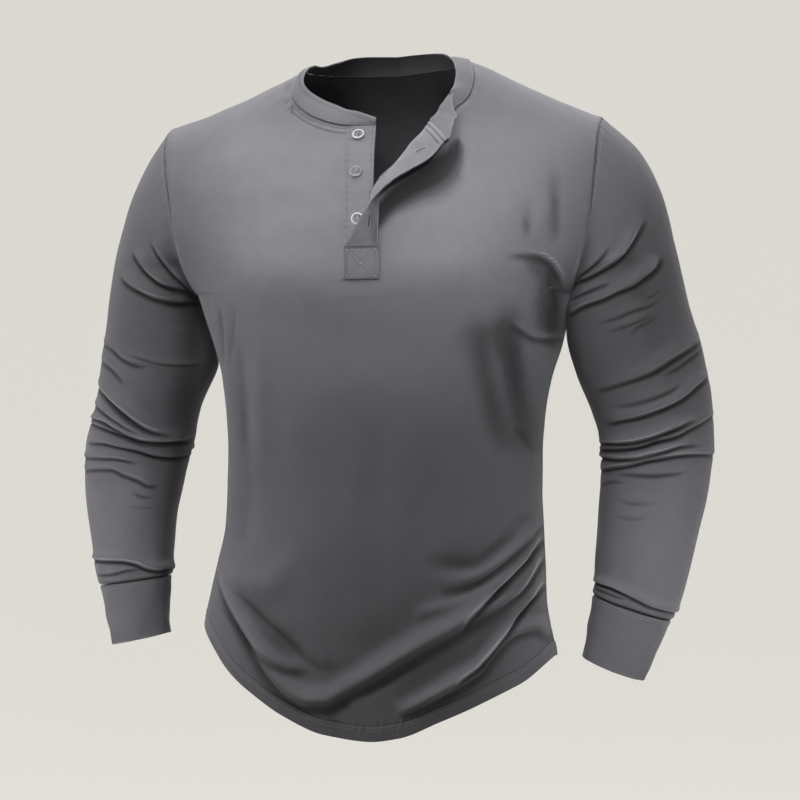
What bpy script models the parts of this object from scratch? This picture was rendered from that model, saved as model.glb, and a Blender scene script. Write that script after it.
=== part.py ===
"""Henley shirt, worn and hollow, modelled in metres with +Z up.

+X is the wearer's left and the front faces -Y. The origin lies in the middle
of the neck opening, level with the inner ends of the shoulder seams.
Every piece of cloth is a grid bent to the garment's sections and given a wall.
"""

import math

import bmesh
import bpy
import numpy as np
from mathutils import Matrix, Vector


def table(columns, rows):
    """Rows of numbers as one array for each named column."""
    return dict(zip(columns.split(), np.array(rows, float).T))


def line_of(section, *columns):
    """Points made from the named columns of a table."""
    return np.stack([section[column] for column in columns], -1)


# Cloth
CLOTH = 0.0012
DOUBLED = 0.0022
SEAM = 0.0003

# Levels
ARMPIT = -0.247
SHOULDER_TIP = -0.059
SHOULDER_ROLL = 0.10
SHOULDER_RIDGE = 0.004
ROLL_POWER = 2.2

# Horizontal sections of the body: reach to each side, depth to front and back
BODY = table("height right left front back", [
    (-0.760, 0.2110, 0.1910, 0.124, 0.134),
    (-0.680, 0.2095, 0.1905, 0.126, 0.131),
    (-0.640, 0.2065, 0.1885, 0.126, 0.127),
    (-0.610, 0.2020, 0.1820, 0.125, 0.122),
    (-0.580, 0.1965, 0.1775, 0.122, 0.116),
    (-0.540, 0.1880, 0.1760, 0.118, 0.108),
    (-0.500, 0.1790, 0.1745, 0.114, 0.102),
    (-0.460, 0.1765, 0.1725, 0.111, 0.098),
    (-0.420, 0.1760, 0.1730, 0.110, 0.096),
    (-0.380, 0.1775, 0.1760, 0.112, 0.099),
    (-0.340, 0.1825, 0.1825, 0.117, 0.106),
    (-0.300, 0.1925, 0.1960, 0.124, 0.114),
    (-0.260, 0.2050, 0.2045, 0.131, 0.121),
    (-0.247, 0.2090, 0.2075, 0.133, 0.123),
    (-0.220, 0.2155, 0.2190, 0.135, 0.126),
    (-0.190, 0.2205, 0.2285, 0.135, 0.127),
    (-0.150, 0.2255, 0.2360, 0.127, 0.124),
    (-0.110, 0.2330, 0.2390, 0.109, 0.117),
    (-0.060, 0.2405, 0.2400, 0.076, 0.100),
    (0.040, 0.2405, 0.2400, 0.046, 0.064),
])
FULLNESS = 2.3
SIDE_POWER = 0.47
ARM_POWER = 0.85
ARMHOLE_REACH = 14
ARMHOLE_DEPTH = {"front": 0.074, "back": 0.078}

# Height of the shoulder line, and of its course inside the neck opening
SHOULDER = table("reach right left", [
    (0.000, 0.040, 0.042),
    (0.050, 0.026, 0.030),
    (0.080, 0.007, 0.013),
    (0.092, 0.000, 0.008),
    (0.110, -0.0085, 0.001),
    (0.140, -0.0225, -0.0140),
    (0.170, -0.0360, -0.0285),
    (0.200, -0.0475, -0.0420),
    (0.240, -0.0600, -0.0580),
    (0.260, -0.0660, -0.0640),
])

# Hem heights across each panel, from the wearer's right seam to the left
HEM = table("across front back", [
    (-1.00, -0.606, -0.606),
    (-0.87, -0.630, -0.634),
    (-0.76, -0.652, -0.659),
    (-0.60, -0.676, -0.690),
    (-0.42, -0.698, -0.713),
    (-0.20, -0.716, -0.728),
    (0.04, -0.722, -0.732),
    (0.20, -0.718, -0.725),
    (0.42, -0.701, -0.703),
    (0.60, -0.686, -0.686),
    (0.76, -0.671, -0.668),
    (0.87, -0.660, -0.656),
    (1.00, -0.639, -0.640),
])

# Neck seam on the wearer's right, from the shoulder seam to the slit
NECK_SEAM = table("x z", [
    (-0.0920, 0.0000),
    (-0.0955, -0.0180),
    (-0.0915, -0.0350),
    (-0.0790, -0.0500),
    (-0.0550, -0.0630),
    (-0.0286, -0.0694),
    (0.0057, -0.0706),
])
# Edge on the wearer's left where the cloth rolls outwards, from the slit up
ROLL_EDGE = table("x z", [
    (0.0116, -0.1430),
    (0.0345, -0.1160),
    (0.0515, -0.0900),
    (0.0640, -0.0680),
])
# Neck seam on the wearer's left, from its lowest point to the shoulder seam
NECK_SEAM_LEFT = table("x z", [
    (0.0883, -0.0523),
    (0.1015, -0.0380),
    (0.1045, -0.0210),
    (0.1000, -0.0030),
    (0.0920, 0.0080),
])
NECK_REACH = 0.092
BACK_NECK_RISE = 0.002

# Grid counts: columns between the named verticals, rows between the levels
SIDE_COLUMNS = 8
NECK_COLUMNS = 5
SLIT = SIDE_COLUMNS + NECK_COLUMNS
NECK_LEFT = SLIT + NECK_COLUMNS
SKIRT_ROWS = 22
SKIRT_SPACING = 1.2
CHEST_ROWS = 5
YOKE_ROWS = 5
MIDDLE_ROW = SKIRT_ROWS + CHEST_ROWS
SIDE_PULL = 0.4

# Sleeve sections from the armhole to the cuff seam
SLEEVE_LEFT = table("outer_x outer_z inner_x inner_z centre_y half_depth", [
    (0.2788, -0.0949, 0.2105, -0.2515, 0.004, 0.074),
    (0.3044, -0.1469, 0.2085, -0.2600, 0.006, 0.073),
    (0.3180, -0.2030, 0.2050, -0.2750, 0.010, 0.071),
    (0.3285, -0.2505, 0.2015, -0.2930, 0.015, 0.068),
    (0.3465, -0.3154, 0.2085, -0.3357, 0.020, 0.064),
    (0.3555, -0.3673, 0.2255, -0.3761, 0.022, 0.061),
    (0.3570, -0.4063, 0.2345, -0.4088, 0.022, 0.058),
    (0.3540, -0.4452, 0.2359, -0.4393, 0.018, 0.056),
    (0.3440, -0.4969, 0.2335, -0.4893, 0.008, 0.052),
    (0.3320, -0.5485, 0.2315, -0.5368, -0.004, 0.046),
    (0.3215, -0.5860, 0.2320, -0.5600, -0.012, 0.040),
    (0.3150, -0.5978, 0.2305, -0.5711, -0.015, 0.036),
])
SLEEVE_RIGHT = table("outer_x outer_z inner_x inner_z centre_y half_depth", [
    (-0.2690, -0.0985, -0.2110, -0.2515, 0.004, 0.074),
    (-0.2920, -0.1500, -0.2100, -0.2600, 0.006, 0.073),
    (-0.3085, -0.2025, -0.2070, -0.2755, 0.010, 0.071),
    (-0.3185, -0.2520, -0.2025, -0.3012, 0.015, 0.068),
    (-0.3290, -0.3131, -0.1985, -0.3315, 0.020, 0.064),
    (-0.3390, -0.3744, -0.2200, -0.3743, 0.022, 0.061),
    (-0.3490, -0.4142, -0.2290, -0.4171, 0.022, 0.058),
    (-0.3495, -0.4494, -0.2360, -0.4487, 0.018, 0.056),
    (-0.3415, -0.4950, -0.2425, -0.4920, 0.008, 0.052),
    (-0.3330, -0.5330, -0.2430, -0.5300, -0.003, 0.046),
    (-0.3275, -0.5560, -0.2415, -0.5490, -0.010, 0.040),
    (-0.3230, -0.5692, -0.2415, -0.5569, -0.013, 0.036),
])
SLEEVE_ROWS = 36

CUFF_LEFT = table("outer_x outer_z inner_x inner_z centre_y half_depth", [
    (0.3140, -0.5985, 0.2312, -0.5720, -0.015, 0.035),
    (0.2985, -0.6340, 0.2250, -0.6090, -0.022, 0.032),
    (0.2862, -0.6620, 0.2210, -0.6375, -0.028, 0.030),
])
CUFF_RIGHT = table("outer_x outer_z inner_x inner_z centre_y half_depth", [
    (-0.3222, -0.5700, -0.2422, -0.5577, -0.013, 0.035),
    (-0.3130, -0.6040, -0.2420, -0.5910, -0.020, 0.032),
    (-0.3040, -0.6345, -0.2400, -0.6205, -0.026, 0.030),
])
CUFF_ROWS = 3

# Neckband: rise above the seam and lean towards the middle of the neck, from
# its wearer's-right end (0) round the back (10) to the foot of the left seam (20)
BAND = table("station inward up", [
    (0, 0.001, 0.0080),
    (1, 0.007, 0.0160),
    (2, 0.016, 0.0180),
    (3, 0.018, 0.0150),
    (4, 0.012, 0.0110),
    (5, 0.012, 0.0060),
    (6, 0.011, 0.0125),
    (7, 0.008, 0.0190),
    (8, 0.005, 0.0205),
    (10, 0.003, 0.0202),
    (12, 0.004, 0.0185),
    (13, 0.008, 0.0155),
    (14, 0.014, 0.0095),
    (15, 0.020, 0.0035),
    (17, 0.021, 0.0080),
    (18, 0.020, 0.0110),
])
# Stretch of the neckband that is turned outwards: fold and free edge, with the
# distance in front of the body, down to its end at the corner of the flap
BAND_TURN = table("station fold_x fold_z fold_out edge_x edge_z edge_out", [
    (19, 0.0838, -0.0330, 0.0030, 0.0858, -0.0360, 0.0050),
    (20, 0.0757, -0.0450, 0.0040, 0.0895, -0.0520, 0.0110),
    (21, 0.0690, -0.0610, 0.0060, 0.0910, -0.0660, 0.0150),
    (23, 0.0825, -0.0765, 0.0140, 0.0905, -0.0785, 0.0165),
    (25, 0.0872, -0.0880, 0.0152, 0.0892, -0.0872, 0.0160),
])
# Seam of neckband and upper strip across the turned-out flap
FLAP_SEAM = table("x z out", [
    (0.0636, -0.0676, 0.0014),
    (0.0745, -0.0765, 0.0105),
    (0.0858, -0.0886, 0.0145),
])
# Upper strip from the box up: its seam, its middle and its free edge
FLAP = table("seam_x seam_z seam_out middle_x middle_z middle_out edge_x edge_z edge_out", [
    (0.0205, -0.2024, 0.0046, 0.0012, -0.2024, 0.0052, -0.0166, -0.2024, 0.0046),
    (0.0200, -0.1870, 0.0042, 0.0080, -0.1870, 0.0120, -0.0048, -0.1867, 0.0140),
    (0.0195, -0.1700, 0.0036, 0.0125, -0.1710, 0.0160, 0.0040, -0.1718, 0.0200),
    (0.0185, -0.1480, 0.0030, 0.0140, -0.1475, 0.0150, 0.0236, -0.1465, 0.0240),
    (0.0232, -0.1310, 0.0026, 0.0225, -0.1305, 0.0130, 0.0362, -0.1338, 0.0220),
    (0.0355, -0.1165, 0.0026, 0.0365, -0.1155, 0.0120, 0.0480, -0.1255, 0.0200),
    (0.0523, -0.0905, 0.0026, 0.0560, -0.0895, 0.0110, 0.0736, -0.1085, 0.0170),
])
FLAP_ROWS = 12
BAND_ACROSS = 4
BAND_CENTRE = (0.0, -0.01)

# Lower strip, box and buttons, on the front
STRIP = 0.0016
LIFT = 0.0006
STRIP_ROWS = 16
STRIP_COLUMNS = 4
BOX_ROWS = 4
UNDER_STRIP = table("z right left", [
    (-0.2018, -0.0166, 0.0114),
    (-0.1430, -0.0195, 0.0110),
    (-0.0712, -0.0257, 0.0053),
])
BOX = dict(right=-0.0166, left=0.0205, low=-0.2363, high=-0.2029, thick=0.0030)
BUTTONS = {
    "button_top": (-0.0117, -0.0822),
    "button_middle": (-0.0085, -0.1239),
    "button_bottom": (-0.0035, -0.1741),
}
BUTTON_RADIUS = 0.0067
BUTTON_THICK = 0.0024
BUTTON_SEAT = 0.0004
BUTTON_SIDES = 20
# Half section of a button, in shares of its radius and thickness
BUTTON_PROFILE = table("out up", [
    (0.00, 0.00),
    (0.80, 0.00),
    (1.00, 0.30),
    (1.00, 0.75),
    (0.90, 1.00),
    (0.72, 1.00),
    (0.62, 0.72),
    (0.00, 0.72),
])

# Largest folds, seen from the front: each is a line with its crest above it and
# its trough below it, listed from the wearer's right
FRONT_FOLDS = [
    table("x z depth width", [
        (0.070, -0.565, 0.000, 0.012),
        (0.100, -0.559, 0.004, 0.012),
        (0.130, -0.546, 0.006, 0.011),
        (0.154, -0.524, 0.008, 0.010),
        (0.174, -0.501, 0.007, 0.010),
    ]),
    table("x z depth width", [
        (0.061, -0.598, 0.000, 0.014),
        (0.091, -0.598, 0.003, 0.012),
        (0.111, -0.588, 0.005, 0.011),
        (0.139, -0.561, 0.006, 0.009),
        (0.174, -0.520, 0.006, 0.009),
    ]),
    table("x z depth width", [
        (-0.169, -0.554, 0.000, 0.013),
        (-0.131, -0.615, 0.006, 0.013),
        (-0.091, -0.667, 0.008, 0.013),
        (-0.066, -0.683, 0.008, 0.013),
        (-0.038, -0.684, 0.008, 0.013),
        (-0.011, -0.675, 0.009, 0.013),
        (0.061, -0.641, 0.011, 0.013),
        (0.116, -0.606, 0.008, 0.012),
        (0.158, -0.574, 0.000, 0.010),
    ]),
    table("x z depth width", [
        (0.035, -0.701, 0.000, 0.011),
        (0.082, -0.682, 0.008, 0.011),
        (0.104, -0.670, 0.009, 0.011),
        (0.134, -0.638, 0.007, 0.010),
        (0.159, -0.613, 0.007, 0.010),
        (0.184, -0.620, 0.004, 0.010),
    ]),
]
BACK_FOLDS = [
    table("x z depth width", [
        (-0.176, -0.508, 0.007, 0.011),
        (-0.140, -0.545, 0.007, 0.011),
        (-0.095, -0.568, 0.005, 0.012),
        (-0.050, -0.576, 0.000, 0.013),
    ]),
    table("x z depth width", [
        (-0.160, -0.590, 0.000, 0.012),
        (-0.105, -0.632, 0.008, 0.013),
        (-0.040, -0.664, 0.009, 0.013),
        (0.030, -0.666, 0.008, 0.013),
        (0.095, -0.640, 0.007, 0.013),
        (0.160, -0.578, 0.000, 0.012),
    ]),
    table("x z depth width", [
        (0.060, -0.548, 0.000, 0.012),
        (0.115, -0.532, 0.006, 0.011),
        (0.172, -0.488, 0.007, 0.010),
    ]),
]
SLEEVE_LEFT_FOLDS = [
    table("x z depth width", [
        (0.217, -0.244, 0.004, 0.010),
        (0.243, -0.234, 0.006, 0.010),
        (0.267, -0.220, 0.006, 0.010),
        (0.290, -0.175, 0.000, 0.010),
    ]),
    table("x z depth width", [
        (0.245, -0.389, 0.003, 0.010),
        (0.273, -0.382, 0.004, 0.010),
        (0.328, -0.361, 0.004, 0.010),
        (0.356, -0.342, 0.003, 0.010),
    ]),
    table("x z depth width", [
        (0.230, -0.418, 0.005, 0.010),
        (0.271, -0.417, 0.006, 0.010),
        (0.304, -0.406, 0.005, 0.010),
        (0.358, -0.381, 0.003, 0.010),
    ]),
    table("x z depth width", [
        (0.230, -0.555, 0.003, 0.009),
        (0.273, -0.567, 0.005, 0.009),
        (0.325, -0.588, 0.003, 0.009),
    ]),
]
SLEEVE_RIGHT_FOLDS = [
    table("x z depth width", [
        (-0.271, -0.199, 0.000, 0.010),
        (-0.262, -0.221, 0.005, 0.010),
        (-0.240, -0.241, 0.006, 0.010),
        (-0.211, -0.252, 0.004, 0.010),
    ]),
    table("x z depth width", [
        (-0.340, -0.343, 0.002, 0.010),
        (-0.299, -0.369, 0.004, 0.010),
        (-0.275, -0.390, 0.004, 0.010),
        (-0.225, -0.399, 0.003, 0.010),
    ]),
    table("x z depth width", [
        (-0.345, -0.384, 0.003, 0.010),
        (-0.287, -0.403, 0.005, 0.010),
        (-0.265, -0.413, 0.006, 0.010),
        (-0.225, -0.415, 0.005, 0.010),
    ]),
    table("x z depth width", [
        (-0.325, -0.536, 0.003, 0.009),
        (-0.289, -0.541, 0.005, 0.009),
        (-0.262, -0.549, 0.005, 0.009),
        (-0.240, -0.551, 0.003, 0.009),
    ]),
]
FOLD_STEPS = 40
CREST = dict(place=0.9, spread=1.0, share=1.0)
TROUGH = dict(place=-0.5, spread=0.7, share=-0.8)
SEAM_HOLD = 12
ARMPIT_HOLD = 0.35

GREY_JERSEY = (0.115, 0.118, 0.124, 1.0)
GREY_HORN = (0.22, 0.22, 0.23, 1.0)
MATT = 0.85
POLISHED = 0.25
MERGE = 0.00001


def curve(knots, values, at):
    """Smooth curve through the values, that never overshoots them."""
    step = np.diff(knots)
    rise = np.diff(values) / step
    slope = np.concatenate([[rise[0]], np.zeros(len(knots) - 2), [rise[-1]]])
    same = rise[:-1] * rise[1:] > 0
    before = 2 * step[1:] + step[:-1]
    after = step[1:] + 2 * step[:-1]
    with np.errstate(divide="ignore", invalid="ignore"):
        mean = (before + after) / (before / rise[:-1] + after / rise[1:])
    slope[1:-1] = np.where(same, mean, 0.0)
    at = np.clip(at, knots[0], knots[-1])
    i = np.clip(np.searchsorted(knots, at, side="right") - 1, 0, len(step) - 1)
    t = (at - knots[i]) / step[i]
    h = step[i]
    return ((1 + 2 * t) * (1 - t) ** 2 * values[i] + t * (1 - t) ** 2 * h * slope[i]
            + t * t * (3 - 2 * t) * values[i + 1] + t * t * (t - 1) * h * slope[i + 1])


def unit(v):
    """Vectors of length one."""
    return v / np.linalg.norm(v, axis=-1, keepdims=True)


def run_length(points):
    """Distance along a line of points, from its first to each of them."""
    return np.concatenate([[0], np.cumsum(np.linalg.norm(np.diff(points, axis=0), axis=1))])


def along(points, fraction):
    """Point on a smooth line through the points, at a fraction of its length."""
    length = run_length(points)
    return np.stack([curve(length / length[-1], c, fraction) for c in points.T], -1)


def reach(across, z):
    """Distance of the side from the middle, for either side."""
    return np.where(across < 0, curve(BODY["height"], BODY["right"], z),
                    curve(BODY["height"], BODY["left"], z))


def shoulder_height(x):
    """Height of the shoulder line over a place across the body."""
    return np.where(x < 0, curve(SHOULDER["reach"], SHOULDER["right"], np.abs(x)),
                    curve(SHOULDER["reach"], SHOULDER["left"], np.abs(x)))


def body_y(x, z, side):
    """Depth of the body's front or back surface over the point x, z."""
    across = np.clip(np.abs(x) / reach(x, z), 0, 1)
    depth = curve(BODY["height"], BODY[side], z)
    rise = np.clip(2 * (z - ARMPIT) / (SHOULDER_TIP - ARMPIT), 0, 1)
    edge = ARMHOLE_DEPTH[side]
    round_side = depth * (1 - across ** FULLNESS) ** SIDE_POWER
    open_side = edge + (depth - edge) * (1 - across ** FULLNESS) ** ARM_POWER
    ease = rise * rise * (3 - 2 * rise)
    lower = round_side + (open_side - round_side) * ease
    lower += edge * (np.sqrt(1 - (1 - rise) ** 2) - ease) * across ** ARMHOLE_REACH
    sign = -1 if side == "front" else 1
    fall = np.clip((shoulder_height(x) - z) / SHOULDER_ROLL, 0, 1)
    roll = (1 - (1 - fall) ** ROLL_POWER) ** (1 / ROLL_POWER)
    return SHOULDER_RIDGE + (sign * lower - SHOULDER_RIDGE) * roll


def column_positions():
    """Position across the panel of each column, -1 to 1."""
    neck = NECK_REACH / reach(1.0, 0.0)
    slit = ROLL_EDGE["x"][0] / reach(1.0, 0.0)
    side = neck + (1 - neck) * np.sin(np.linspace(0, math.pi / 2, SIDE_COLUMNS + 1))
    right = np.linspace(-neck, slit, NECK_COLUMNS + 1)
    left = np.linspace(slit, neck, NECK_COLUMNS + 1)
    return np.concatenate([-side[:0:-1], right, left[1:], side[1:]])


def top_line(side, u):
    """Upper edge of a panel: shoulder seams with the neck seam between them."""
    x = u * reach(u, np.full_like(u, SHOULDER_TIP))
    z = shoulder_height(x)
    if side == "front":
        seam = along(line_of(NECK_SEAM, "x", "z"), np.linspace(0, 1, NECK_COLUMNS + 1))
        x[SIDE_COLUMNS:SLIT + 1] = seam[:, 0]
        z[SIDE_COLUMNS:SLIT + 1] = seam[:, 1]
    else:
        neck = slice(SIDE_COLUMNS, NECK_LEFT + 1)
        inward = 1 - np.abs(u[neck]) * reach(1.0, 0.0) / NECK_REACH
        ends = shoulder_height(np.sign(u[neck]) * NECK_REACH)
        z[neck] = ends * (1 - inward) + BACK_NECK_RISE * inward * (2 - inward)
    return x, z


def middle_line(side, u):
    """Row of a panel between armpit and shoulder, which on the front meets the slit."""
    z = np.full_like(u, (ARMPIT + SHOULDER_TIP) / 2)
    x = u * reach(u, z)
    if side == "front":
        roll = along(line_of(ROLL_EDGE, "x", "z"), np.linspace(0, 1, NECK_COLUMNS))
        roll = np.concatenate([roll, line_of(NECK_SEAM_LEFT, "x", "z")[:1]])
        z[:SLIT + 1] += (roll[0, 1] - z[0]) * (u[:SLIT + 1] + 1) / (u[SLIT] + 1)
        z[NECK_LEFT:] += (roll[-1, 1] - z[-1]) * beside_neck(u) ** 2
        x = u * reach(u, z)
        x[SLIT:NECK_LEFT + 1] = roll[:, 0]
        z[SLIT:NECK_LEFT + 1] = roll[:, 1]
    return x, z


def beside_neck(u):
    """Nearness to the neck of the columns on the wearer's left of it, 1 to 0."""
    return (1 - u[NECK_LEFT:]) / (1 - u[NECK_LEFT])


def panel_points(side):
    """Grid of points of the front or back, rows from hem to shoulder."""
    u = column_positions()
    hem = curve(HEM["across"], HEM[side], u)
    top_x, top_z = top_line(side, u)
    middle_x, middle_z = middle_line(side, u)
    rows = []
    for t in np.linspace(0, 1, SKIRT_ROWS + 1) ** SKIRT_SPACING:
        z = hem + (ARMPIT - hem) * t
        rows.append((u * reach(u, z), z))
    for t in np.linspace(0, 1, CHEST_ROWS + 1)[1:]:
        share = 1 - math.cos(t * math.pi / 2)
        z = ARMPIT + (middle_z - ARMPIT) * share
        shift = (middle_x - u * reach(u, middle_z)) * share
        rows.append((u * reach(u, z) + shift, z))
    at_side = np.clip((np.abs(u) - SIDE_PULL) / (1 - SIDE_PULL), 0, 1) ** 2
    for t in np.linspace(0, 1, YOKE_ROWS + 1)[1:]:
        share = math.sin(t * math.pi / 2)
        z = middle_z + (top_z - middle_z) * share
        x = middle_x + (top_x - middle_x) * share
        x += (u * reach(u, z) - x) * at_side
        if side == "front":
            seam_x, seam_z = along(line_of(NECK_SEAM_LEFT, "x", "z"), t)
            x[NECK_LEFT:] += (seam_x - x[NECK_LEFT]) * beside_neck(u) ** 2
            z[NECK_LEFT:] += (seam_z - z[NECK_LEFT]) * beside_neck(u) ** 2
        rows.append((x, z))
    x, z = np.array(rows).transpose(1, 0, 2)
    return np.stack([x, body_y(x, z, side), z], -1)


def grid_normals(points, closed=False):
    """Unit normals of a grid of points, outward for rows up and columns right."""
    if closed:
        du = np.roll(points, -1, 1) - np.roll(points, 1, 1)
    else:
        du = np.gradient(points, axis=1)
    dv = np.gradient(points, axis=0)
    return unit(np.cross(du, dv))


def fold_lift(x, z, folds):
    """Height of the folds over points that are seen from the front."""
    lift = np.zeros(np.shape(x))
    for fold in folds:
        line = line_of(fold, "x", "z")
        length = run_length(line)
        at = np.linspace(0, length[-1], FOLD_STEPS)
        path = np.stack([curve(length, c, at) for c in line.T], -1)
        course = unit(np.gradient(path, axis=0))
        apart = np.stack([x, z], -1)[..., None, :] - path
        near = np.argmin(np.sum(apart ** 2, -1), -1)
        apart = np.take_along_axis(apart, near[..., None, None], -2)[..., 0, :]
        course = course[near]
        width = curve(length, fold["width"], at)[near]
        above = (course[..., 0] * apart[..., 1] - course[..., 1] * apart[..., 0]) / width
        beyond = np.sum(course * apart, -1) / width
        shape = sum(part["share"] * np.exp(-((above - part["place"]) / part["spread"]) ** 2)
                    for part in (CREST, TROUGH))
        lift += curve(length, fold["depth"], at)[near] * shape * np.exp(-beyond ** 2)
    return lift


def round_angles():
    """Angles round a sleeve: outer side, front, inner side, back."""
    count = 2 * (CHEST_ROWS + YOKE_ROWS)
    return np.arange(count) * 2 * math.pi / count


def tube_points(section, rows, first_ring=None):
    """Grid of a tube: a row for each ring, from the top, closed round."""
    outer = line_of(section, "outer_x", "centre_y", "outer_z")[:, None]
    inner = line_of(section, "inner_x", "centre_y", "inner_z")[:, None]
    forward = np.array([0, -1, 0]) * section["half_depth"][:, None, None]
    angles = round_angles()[:, None]
    rings = (outer + inner) / 2 + np.cos(angles) * (outer - inner) / 2 + np.sin(angles) * forward
    if first_ring is not None:
        rings = np.concatenate([first_ring[None], rings])
    length = run_length(rings.mean(1))
    flat = rings.reshape(len(rings), -1)
    points = np.array([[curve(length, c, at) for c in flat.T] for at in rows * length[-1]])
    return points.reshape(len(rows), len(angles), 3)


def armhole_ring(front, back, left):
    """Loop of the armhole from the shoulder tip down the front and up the back."""
    column = -1 if left else 0
    lowest = CHEST_ROWS + YOKE_ROWS
    down = front[SKIRT_ROWS:, column][::-1]
    up = back[SKIRT_ROWS:, column]
    loop = np.concatenate([down, up[1:-1]])
    loop[0] = (down[0] + up[-1]) / 2
    loop[lowest] = (down[-1] + up[0]) / 2
    return loop


def finish(name, colour, roughness):
    """Material of one piece."""
    material = bpy.data.materials.new(name)
    material.use_nodes = True
    shader = material.node_tree.nodes["Principled BSDF"]
    shader.inputs["Base Color"].default_value = colour
    shader.inputs["Roughness"].default_value = roughness
    shader.inputs["Metallic"].default_value = 0.0
    return material


def add_piece(name, mesh, material):
    """Object with the finished mesh, at the origin."""
    bmesh.ops.recalc_face_normals(mesh, faces=mesh.faces)
    data = bpy.data.meshes.new(name)
    mesh.to_mesh(data)
    mesh.free()
    data.shade_smooth()
    data.materials.append(material)
    piece = bpy.data.objects.new(name, data)
    bpy.context.scene.collection.objects.link(piece)
    return piece


def cloth(name, outer, inner, closed=False, keep=None):
    """Closed wall between two grids of points, without the squares that keep refuses."""
    rows, columns = outer.shape[:2]
    mesh = bmesh.new()
    verts = []
    for layer in (outer, inner):
        verts.append([[mesh.verts.new(layer[r, c]) for c in range(columns)] for r in range(rows)])
    spans = columns if closed else columns - 1
    kept = [[keep is None or keep(r, c) for c in range(spans)] for r in range(rows - 1)]

    def has(r, c):
        if closed:
            c %= columns
        return 0 <= r < rows - 1 and 0 <= c < spans and kept[r][c]

    for r in range(rows - 1):
        for c in range(spans):
            if not kept[r][c]:
                continue
            d = (c + 1) % columns
            a = verts[0]
            b = verts[1]
            rising = outer[r + 1, d] - outer[r, c]
            falling = outer[r, d] - outer[r + 1, c]
            for side in (a, b):
                square = (side[r][c], side[r][d], side[r + 1][d], side[r + 1][c])
                if side is b:
                    square = square[::-1]
                shift = int((falling @ falling < rising @ rising) != (side is b))
                square = square[shift:] + square[:shift]
                mesh.faces.new(square[:3])
                mesh.faces.new(square[2:] + square[:1])
            if not has(r - 1, c):
                mesh.faces.new((a[r][d], a[r][c], b[r][c], b[r][d]))
            if not has(r + 1, c):
                mesh.faces.new((a[r + 1][c], a[r + 1][d], b[r + 1][d], b[r + 1][c]))
            if not has(r, c - 1):
                mesh.faces.new((a[r][c], a[r + 1][c], b[r + 1][c], b[r][c]))
            if not has(r, c + 1):
                mesh.faces.new((a[r + 1][d], a[r][d], b[r][d], b[r + 1][d]))
    loose = [v for v in mesh.verts if not v.link_faces]
    bmesh.ops.delete(mesh, geom=loose, context="VERTS")
    return add_piece(name, mesh, finish(name, GREY_JERSEY, MATT))


def draw_in(points, rows=(), columns=(), gap=SEAM):
    """Moves edge rows and columns inwards by half the gap at a seam."""
    points = points.copy()
    for r, inward in rows:
        points[r] += unit(points[r + inward] - points[r]) * gap / 2
    for c, inward in columns:
        points[:, c] += unit(points[:, c + inward] - points[:, c]) * gap / 2
    return points


def facets(points):
    """Triangles of a grid, split like the wall's."""
    found = []
    for r in range(len(points) - 1):
        for c in range(points.shape[1] - 1):
            square = [points[r, c], points[r, c + 1], points[r + 1, c + 1], points[r + 1, c]]
            rising = square[2] - square[0]
            falling = square[1] - square[3]
            shift = int(falling @ falling < rising @ rising)
            square = square[shift:] + square[:shift]
            found += [square[:3], [square[2], square[3], square[0]]]
    return np.array(found)


def lay_on(faces, x, z, out):
    """Point a distance out from the faces, which are seen from the front."""
    a, b, c = faces[:, 0], faces[:, 1], faces[:, 2]
    area = (b[:, 0] - a[:, 0]) * (c[:, 2] - a[:, 2]) - (c[:, 0] - a[:, 0]) * (b[:, 2] - a[:, 2])
    share_b = ((x - a[:, 0]) * (c[:, 2] - a[:, 2]) - (c[:, 0] - a[:, 0]) * (z - a[:, 2])) / area
    share_c = ((b[:, 0] - a[:, 0]) * (z - a[:, 2]) - (x - a[:, 0]) * (b[:, 2] - a[:, 2])) / area
    inside = np.minimum(np.minimum(share_b, share_c), 1 - share_b - share_c)
    k = int(np.argmax(inside))
    y = a[k, 1] + share_b[k] * (b[k, 1] - a[k, 1]) + share_c[k] * (c[k, 1] - a[k, 1])
    return np.array([x, y - out, z])


def off_body(x, z, out):
    """Point a distance in front of the body."""
    return np.array([x, float(body_y(np.array([x]), np.array([z]), "front")[0]) - out, z])


def flap_seam_points(count):
    """Points across the flap where neckband and upper strip meet."""
    line = np.array([off_body(*row) for row in line_of(FLAP_SEAM, "x", "z", "out")])
    knots = np.arange(float(len(line)))
    return np.stack([curve(knots, c, np.linspace(0, knots[-1], count)) for c in line.T], -1)


def turned_band(station, part):
    """Point of the turned-out stretch of the neckband, on its fold or its edge."""
    place = [curve(BAND_TURN["station"], BAND_TURN[part + k], station) for k in ("_x", "_z", "_out")]
    return off_body(*place)


def neckband_points(front, back):
    """Grid of the neckband: a row for each station, from its seam to its edge."""
    seam = [front[-1, c] for c in range(SLIT, SIDE_COLUMNS - 1, -1)]
    seam += [back[-1, c] for c in range(SIDE_COLUMNS + 1, NECK_LEFT)]
    seam += [front[-1 - k, NECK_LEFT] for k in range(YOKE_ROWS + 1)]
    seam += list(flap_seam_points(BAND_ACROSS + 1))
    rows = []
    for station, foot in enumerate(seam):
        if station < BAND_TURN["station"][0]:
            inward = unit(np.array(BAND_CENTRE) - foot[:2])
            lean = curve(BAND["station"], BAND["inward"], station)
            rise = curve(BAND["station"], BAND["up"], station)
            edge = foot + np.append(inward * lean, rise)
            middle = (foot + edge) / 2
        else:
            middle = turned_band(station, "fold")
            edge = turned_band(station, "edge")
        rows.append([foot, (foot + middle) / 2, middle, (middle + edge) / 2, edge])
    return np.array(rows)


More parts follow.
